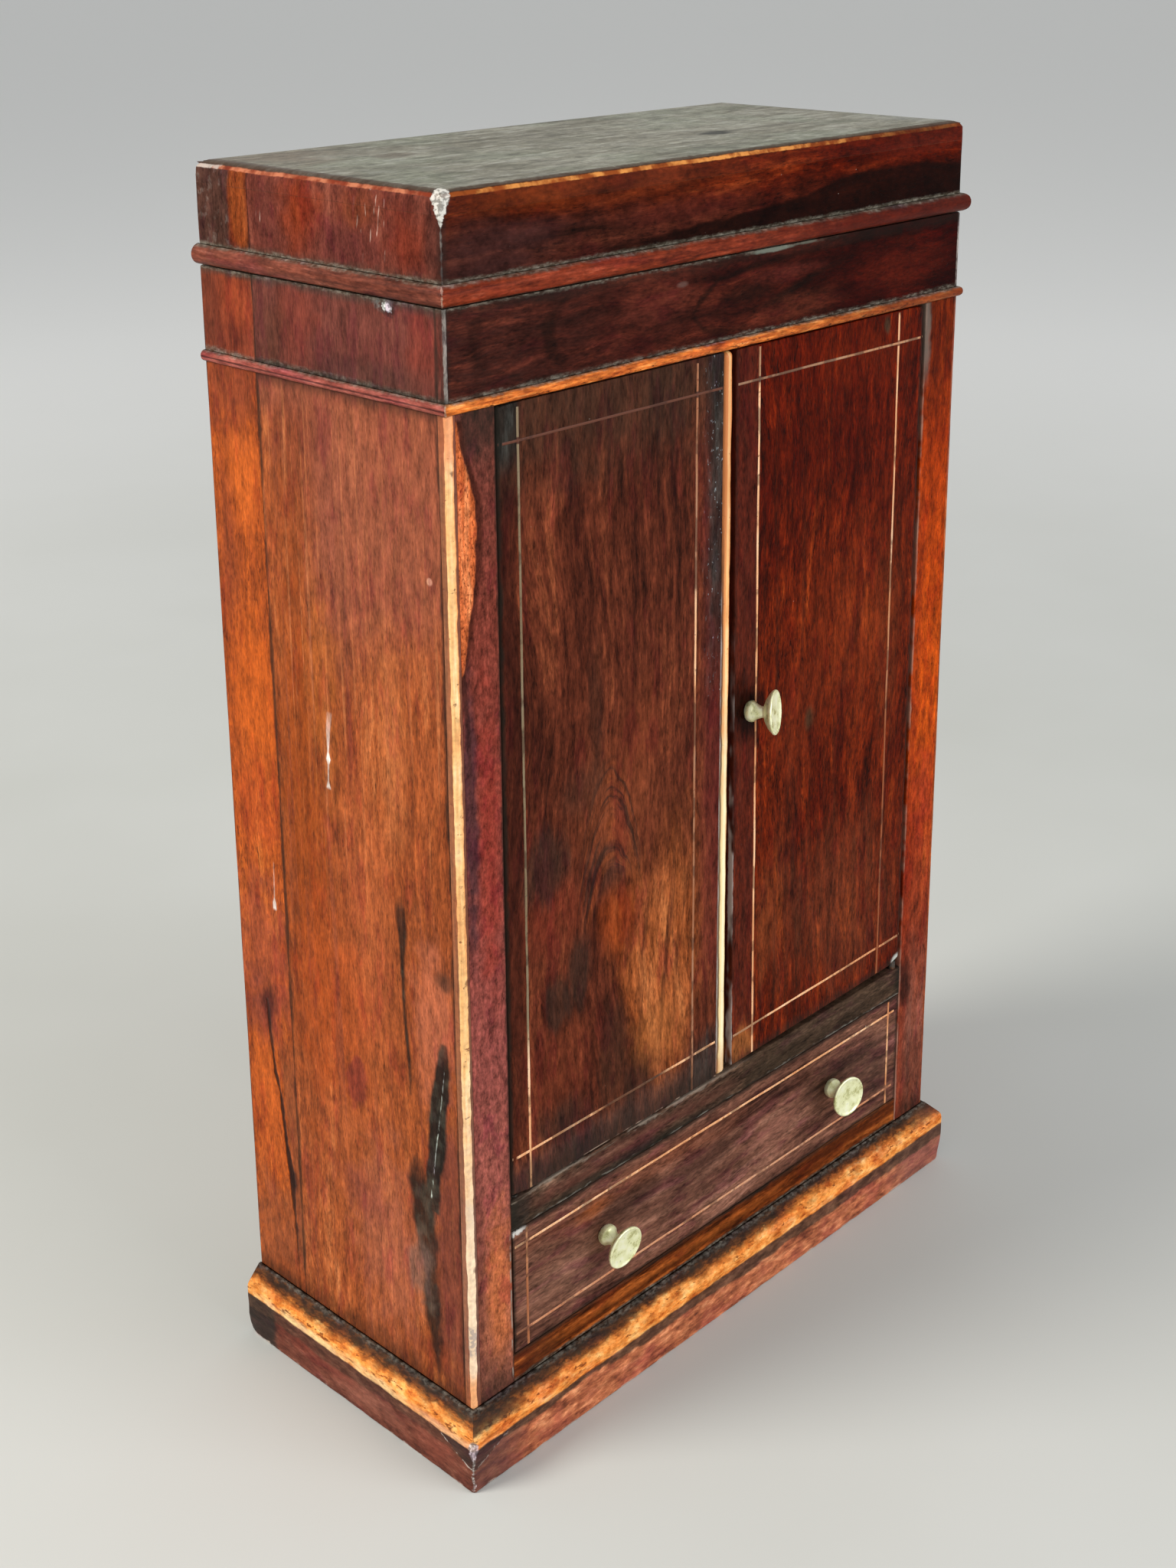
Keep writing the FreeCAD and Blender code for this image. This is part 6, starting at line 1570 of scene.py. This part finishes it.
def plain_board(name, stops, seed):
    """Boards that only show when the cabinet is open: plain sawn wood, grain along the longest side."""
    net = Net(name)
    x, y, z = net.x, net.y, net.z
    upright = net.nx.abs().step(0.4, 0.6)
    flow = z * upright + x * (1.0 - upright)
    across = y * upright + (y + z) * (1.0 - upright)
    lay = net.vector(across, x * upright * 0.2, flow)
    broad = net.noise(net.scaled(lay, (0.09, 0.09, 0.008), seed), 3.0, 0.55, 0.6)
    lines = net.noise(net.scaled(lay, (0.9, 0.9, 0.02), seed + 1), 3.0, 0.6)
    fine = net.noise(net.scaled(lay, (4.0, 4.0, 0.12), seed + 2), 2.0, 0.6)
    tone = net.colours(broad * 0.55 + lines * 0.45, stops)
    tone = net.shade(tone, 1.0 + (fine - 0.5) * 0.4)
    stain = net.cloud(30.0, seed, 3.0).step(0.5, 0.75)
    tone = net.mix(tone, (70, 44, 28), stain * 0.35)
    return net.finish(tone, 0.6 + (lines - 0.5) * 0.3, fine + lines * 0.5, 0.1, 0.25)


# --------------------------------------------------------------------------- case

def warped(x, z):
    """How far the right door's twist moves it along y: most at the meeting edge's foot."""
    low, high = span("right_door_panel")
    swing = np.clip((high[0] - x) / (high[0] - low[0]), 0, 1.05)
    drop = np.clip((high[2] - z) / (high[2] - low[2]), 0, 1)
    return -swing * (WARP_TOP + (WARP_FOOT - WARP_TOP) * drop)


CASE_BOARD = plain_board("case_board", [(0.3, (112, 72, 42)), (0.5, (146, 100, 62)), (0.7, (172, 126, 84))], 3.0)
DRAWER_BOARD = plain_board("drawer_board", [(0.3, (132, 92, 54)), (0.5, (164, 122, 78)), (0.7, (188, 148, 102))], 9.0)
HINGE_BRASS = brass("hinge_brass", [(0.3, (118, 98, 52)), (0.5, (168, 146, 84)), (0.7, (196, 178, 112))], 0.34)
PIVOT_IRON = iron()

for node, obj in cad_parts.items():
    given = obj.data.materials[0].name.split(".")[0]
    plain = {"case_board": CASE_BOARD, "drawer_board": DRAWER_BOARD, "hinge_brass": HINGE_BRASS,
             "pivot_iron": PIVOT_IRON}.get(given)
    if plain is None:
        continue
    for place in range(len(obj.material_slots)):
        obj.material_slots[place].material = plain
    if given in ("case_board", "drawer_board"):
        soft = obj.modifiers.new("soft_arris", "BEVEL")
        soft.width, soft.segments, soft.limit_method = 0.25 * MM, 2, "ANGLE"
        soft.harden_normals = True


def veneers():
    """The sides: a wide front leaf and a narrow back one; the photograph's marks are on the left only."""
    for side, sign in (("left", -1), ("right", 1)):
        skin_material = veneer("rosewood_side_" + side, side_wood, side == "left", 0.05)
        leaf_material = veneer("rosewood_leaf_" + side, leaf_wood, side == "left", 0.04)
        low, high = span(side + "_side_veneer")
        outer = "x-" if sign < 0 else "x+"
        board = Board(low, (high[0], LEAF_JOINT - 0.02, high[2]), 5.0, 0.12, {(outer, "y-"): 0.45}, 0.08, 3.0 + sign,
                      extra=((), (), (THIN_LOW, THIN_LOW + 0.6)), joined=("y+",))
        verts, faces = board.mesh()
        if side == "left":
            below = (verts[:, 2] < THIN_LOW + 0.3) & (verts[:, 1] < STRIP_BACK)
            verts[below, 1] = STRIP_BACK + 0.05
        piece(side + "_side_veneer", "carcass", skin_material, verts, faces, "rosewood_side")
        low, high = span(side + "_back_leaf")
        add_board(side + "_back_leaf", "carcass", leaf_material,
                  Board(low, high, 5.0, 0.12, {(outer, "y+"): 0.5}, 0.08, 3.0 + sign, joined=("y-",)),
                  slot="rosewood_back_leaf")


def front_frame():
    low, high = span("left_stile")
    add_board("left_stile", "carcass", left_stile(),
              Board((STRIP_RIGHT + 0.03, low[1], low[2]), high, 5.0, 0.16, None, 0.06, 11.0),
              slot="rosewood_left_stile")
    low, high = span("right_stile")
    add_board("right_stile", "carcass", right_stile(),
              Board(low, high, 5.0, 0.2, {("x-", "y-"): 0.35}, 0.07, 12.0), slot="rosewood_right_stile")
    low, high = span("corner_stringing")
    add_board("corner_stringing", "carcass", corner_strip(),
              Board(low, high, 2.0, 0.1, {("x-", "y-"): 0.75}, 0.06, 13.0, margins=(0, 0.1, 0.25, 0.45, 0.7, 1.0)),
              slot="boxwood_corner")
    for name, material, seed, arris in (("lower_rail", lower_rail(), 14.0, 0.2),
                                        ("middle_rail", middle_rail(), 15.0, 0.3),
                                        ("frieze_front", frieze(), 16.0, 0.12)):
        low, high = span(name)
        slot = {"frieze_front": "rosewood_frieze"}.get(name, "rosewood_" + name)
        add_board(name, "carcass", material, Board(low, high, 4.0, arris, None, 0.05, seed), slot=slot)


def half_round(reach, low, high, count):
    """A bead's section: an arc that bulges from the wall."""
    height = high - low
    radius = (height * height / 4 + reach * reach) / (reach * 2)
    return [(0.0, low)] + [(float(u), float(v)) for u, v in arc((0, low), (0, high), radius, -1, count)[:-1]] + [
        (0.0, high)]


def plinth_section():
    """From the foot up: a small round, the upright face, a rounded shoulder and the slope up to the case."""
    reach, foot, shoulder = PLINTH_REACH, 0.6, 1.4
    edge = np.array([reach, PLINTH_FACE])
    slope = np.array([PLINTH_LEDGE - reach, PLINTH_TOP - PLINTH_FACE])
    slope = slope / np.linalg.norm(slope)
    section = [(0.0, 0.0), (reach - foot, 0.0)] + arc((reach - foot, 0.0), (reach, foot), foot, -1, 3)
    section += [(reach, v) for v in (3.0, 6.0, 9.0, 12.0)] + [(reach, PLINTH_FACE - shoulder)]
    section += arc((reach, PLINTH_FACE - shoulder), tuple(edge + slope * shoulder), 2.9, -1, 6)
    return section + [tuple(edge + slope * 3.6), (PLINTH_LEDGE, PLINTH_TOP - 0.05), (0.0, PLINTH_TOP)]


def mouldings():
    """The plinth, the thin bead under the frieze and the wide bead of the lid, each in three lengths."""
    low, high = span("plinth_front")[0], span("plinth_right")[1]
    dents = (((low[0] - 0.3, low[1] - 0.3, 14.5), (2.6, 2.6, 3.0), 1.1), ((low[0], high[1], 0.0), (2.6, 2.6, 5.0), 0.9),
             ((high[0], low[1], 0.0), (3.0, 3.0, 9.0), 1.5), ((-80.0, low[1] - 0.3, 0.0), (3.0, 3.0, 1.2), 0.6))
    thin, wide = half_round(THIN_REACH, THIN_LOW, THIN_HIGH, 8), half_round(WIDE_REACH, LID_LOW, WIDE_HIGH, 12)
    for label, section, seed, material, slot, nicks, corner, waver, worn in (
            ("plinth_", plinth_section(), 21.0, plinth(), "rosewood_plinth", 0.14, 0.7, 0.12, dents),
            ("thin_bead_", thin, 31.0, thin_bead(), "rosewood_thin_bead", 0.05, 0.3, 0.1, ()),
            ("lid_bead_", wide, 41.0, wide_bead(), "rosewood_lid_bead", 0.06, 0.4, 0.14, ())):
        for side in ("front", "left", "right"):
            moulding(label + side, section, side, seed + len(side), material, slot, nicks, corner, waver, worn)


def doors():
    left = Board(*span("left_door_panel"), 4.5, 0.22, {("x-", "y-"): 1.55}, 0.1, 51.0)
    add_board("left_door_panel", "left_door", left_door(), left, slot="rosewood_left_door")
    right = Board(*span("right_door_panel"), 4.5, 0.25, {("x+", "y-"): 1.55, ("x-", "y-"): 0.4}, 0.1, 52.0,
                  warp=warped, dents=(((82.6, -45.0, 78.6), (3.0, 2.0, 1.6), 0.6),))
    add_board("right_door_panel", "right_door", right_door(), right, slot="rosewood_right_door")
    lines = door_lines()
    stringing("left_door_stringing", "left_door", left, LINES["left_door"], lines, 61.0)
    stringing("right_door_stringing", "right_door", right, LINES["right_door"], lines, 65.0)
    low, high = span("meeting_bead")
    bead = Board(low, high, 2.0, 0.2, {("x-", "y-"): 1.4, ("x+", "y-"): 1.4}, 0.06, 53.0,
                 margins=(0, 0.1, 0.25, 0.45, 0.8, 1.2, 1.5))
    add_board("meeting_bead", "left_door", bead_wood(), bead, slot="boxwood_bead")
    return right


def drawer():
    face = Board(*span("drawer_front"), 4.0, 0.25, None, 0.08, 54.0)
    add_board("drawer_front", "drawer", drawer_front(), face, slot="rosewood_drawer_front")
    stringing("drawer_stringing", "drawer", face, LINES["drawer"], drawer_lines(), 71.0)
    return face


def knobs(boards):
    # The knobs' near-white tones are painted highlights: the bright reflection of polished brass, laid into its colour.
    metal = brass("knob_brass", [(0.25, (186, 184, 122)), (0.42, (236, 236, 182)), (0.6, (252, 252, 208)),
                                 (0.8, (255, 255, 226))], 0.3, 0.35, 2.6, 0.02, 0.4)
    for seed, (name, (body, place, lean)) in enumerate(KNOBS.items()):
        turned_knob(name, body, place, lean, boards[body], metal, seed * 4.0)


def lid():
    """Four walls and a top that read as one box, its upper edges rounded and its near corner knocked."""
    corner = (((-100.6, -45.6, 337.6), (4.4, 4.4, 9.0), 1.5),)
    upright = {pair: 1.0 for pair in (("x-", "y-"), ("x+", "y-"), ("x-", "y+"), ("x+", "y+"))}
    neighbours = {"front": ("y+",), "back": ("y-",), "left": ("y-", "y+"), "right": ("y-", "y+")}
    for side, joined in neighbours.items():
        low, high = span("lid_" + side)
        arrises = {pair: radius for pair, radius in upright.items() if side[0] in "fb" and pair[1][1] ==
                   ("-" if side == "front" else "+")}
        material = lid_wall("rosewood_lid_" + side, side)
        add_board("lid_" + side, "lid", material,
                  Board(low, high, 4.0, 0.06, arrises, 0.05, 81.0, corner, joined=("z+", *joined)),
                  slot="rosewood_lid_wall")
    low, high = span("lid_top")
    round_over = {"x-": 3.1, "x+": 3.8, "y-": 2.4, "y+": 3.1}
    near = np.arange(-99.5, -94.0, 0.6), np.arange(-44.5, -39.5, 0.6)
    add_board("lid_top", "lid", lid_top(),
              Board(low, high, 4.0, 0.06, upright, 0.05, 81.0, corner, (near[0], near[1], ()),
                    joined=("z-", "z+"), crown=round_over), slot="rosewood_lid_top")


veneers()
front_frame()
mouldings()
knobs({"right_door": doors(), "drawer": drawer()})
lid()


# --------------------------------------------------------------------------- floor, light, camera

def stage_floor():
    """A wide pale floor with a faint mottle, paler away from the cabinet."""
    net = Net("stage_floor")
    mottled = net.cloud(160.0, 3.0, 3.0)
    tone = net.colours(mottled, [(0.3, (200, 201, 195)), (0.7, (205, 206, 201))])
    away = net.math("SQRT", net.x * net.x + net.y * net.y)
    tone = net.mix(tone, (244, 244, 241), away.step(420.0, 1500.0))
    material = net.finish(tone, 0.6, None, 0.1, 0.2)
    mesh = bpy.data.meshes.new("stage_floor")
    rings, around, verts, faces = 9, 48, [], []
    for ring in range(rings):
        radius = 40.0 * (ring / (rings - 1)) ** 2 + 0.05
        verts += [(radius * math.cos(2 * math.pi * s / around), radius * math.sin(2 * math.pi * s / around), 0.0)
                  for s in range(around)]
    for ring in range(rings - 1):
        for s in range(around):
            t = (s + 1) % around
            faces.append((ring * around + s, (ring + 1) * around + s, (ring + 1) * around + t, ring * around + t))
    faces.append(tuple(range(around)))
    mesh.from_pydata(verts, [], faces)
    mesh.materials.append(material)
    floor = bpy.data.objects.new("stage_floor", mesh)
    bpy.context.scene.collection.objects.link(floor)


def world_light():
    """Even light on the cabinet; a pale room for the camera and for what glossy or clear surfaces show."""
    world = bpy.data.worlds.new("pale_room")
    bpy.context.scene.world = world
    world.use_nodes = True
    tree = world.node_tree
    tree.nodes.clear()
    seen, lit = tree.nodes.new("ShaderNodeBackground"), tree.nodes.new("ShaderNodeBackground")
    seen.inputs["Color"].default_value = colour(214, 214, 209)
    lit.inputs["Color"].default_value = colour(250, 252, 255)
    lit.inputs["Strength"].default_value = 0.5
    path = tree.nodes.new("ShaderNodeLightPath")
    sees_room = path.outputs["Is Camera Ray"]
    for kind in ("Is Glossy Ray", "Is Transmission Ray"):
        either = tree.nodes.new("ShaderNodeMath")
        either.operation = "MAXIMUM"
        tree.links.new(sees_room, either.inputs[0])
        tree.links.new(path.outputs[kind], either.inputs[1])
        sees_room = either.outputs[0]
    mixed, output = tree.nodes.new("ShaderNodeMixShader"), tree.nodes.new("ShaderNodeOutputWorld")
    tree.links.new(sees_room, mixed.inputs[0])
    tree.links.new(lit.outputs[0], mixed.inputs[1])
    tree.links.new(seen.outputs[0], mixed.inputs[2])
    tree.links.new(mixed.outputs[0], output.inputs[0])


CABINET_MIDDLE = (0, 0, 0.16)


def lamp(name, place, size, power, tone):
    """A round lamp in metres and watts, aimed at the cabinet's middle."""
    light = bpy.data.lights.new(name, "AREA")
    light.shape, light.size, light.energy = "DISK", size, power
    light.color = colour(*tone)[:3]
    obj = bpy.data.objects.new(name, light)
    obj.location = place
    obj.rotation_mode = "QUATERNION"
    obj.rotation_quaternion = (Vector(CABINET_MIDDLE) - Vector(place)).to_track_quat("-Z", "Y")
    bpy.context.scene.collection.objects.link(obj)


def camera():
    """The photograph's view: fitted place, lens in pixels of the 1536 x 2048 frame, and upward shift."""
    place = Vector((-0.40398, -0.38327, 0.39710))
    rows = [(0.693823, -0.720109, -0.007329), (-0.214145, -0.196590, -0.956815), (0.687570, 0.665429, -0.290607)]
    right, down, ahead = (Vector(row) for row in rows)
    lens, frame_height, sensor = 2719.8, 2048, 36.0
    data = bpy.data.cameras.new("camera")
    data.sensor_width, data.lens = sensor, lens / frame_height * sensor
    data.shift_y = -0.16
    data.clip_start, data.clip_end = 0.01, 50.0
    obj = bpy.data.objects.new("camera", data)
    turn = Matrix((right, -down, -ahead)).transposed()
    obj.matrix_world = Matrix.Translation(place) @ turn.to_4x4()
    bpy.context.scene.collection.objects.link(obj)
    bpy.context.scene.camera = obj


stage_floor()
world_light()
lamp("key", (-1.2, 0.52, 1.05), 0.7, 20.5, (255, 252, 246))
lamp("fill", (0.45, -1.6, 0.75), 1.4, 22.0, (250, 252, 255))
camera()
bpy.context.scene.view_settings.view_transform = "Standard"
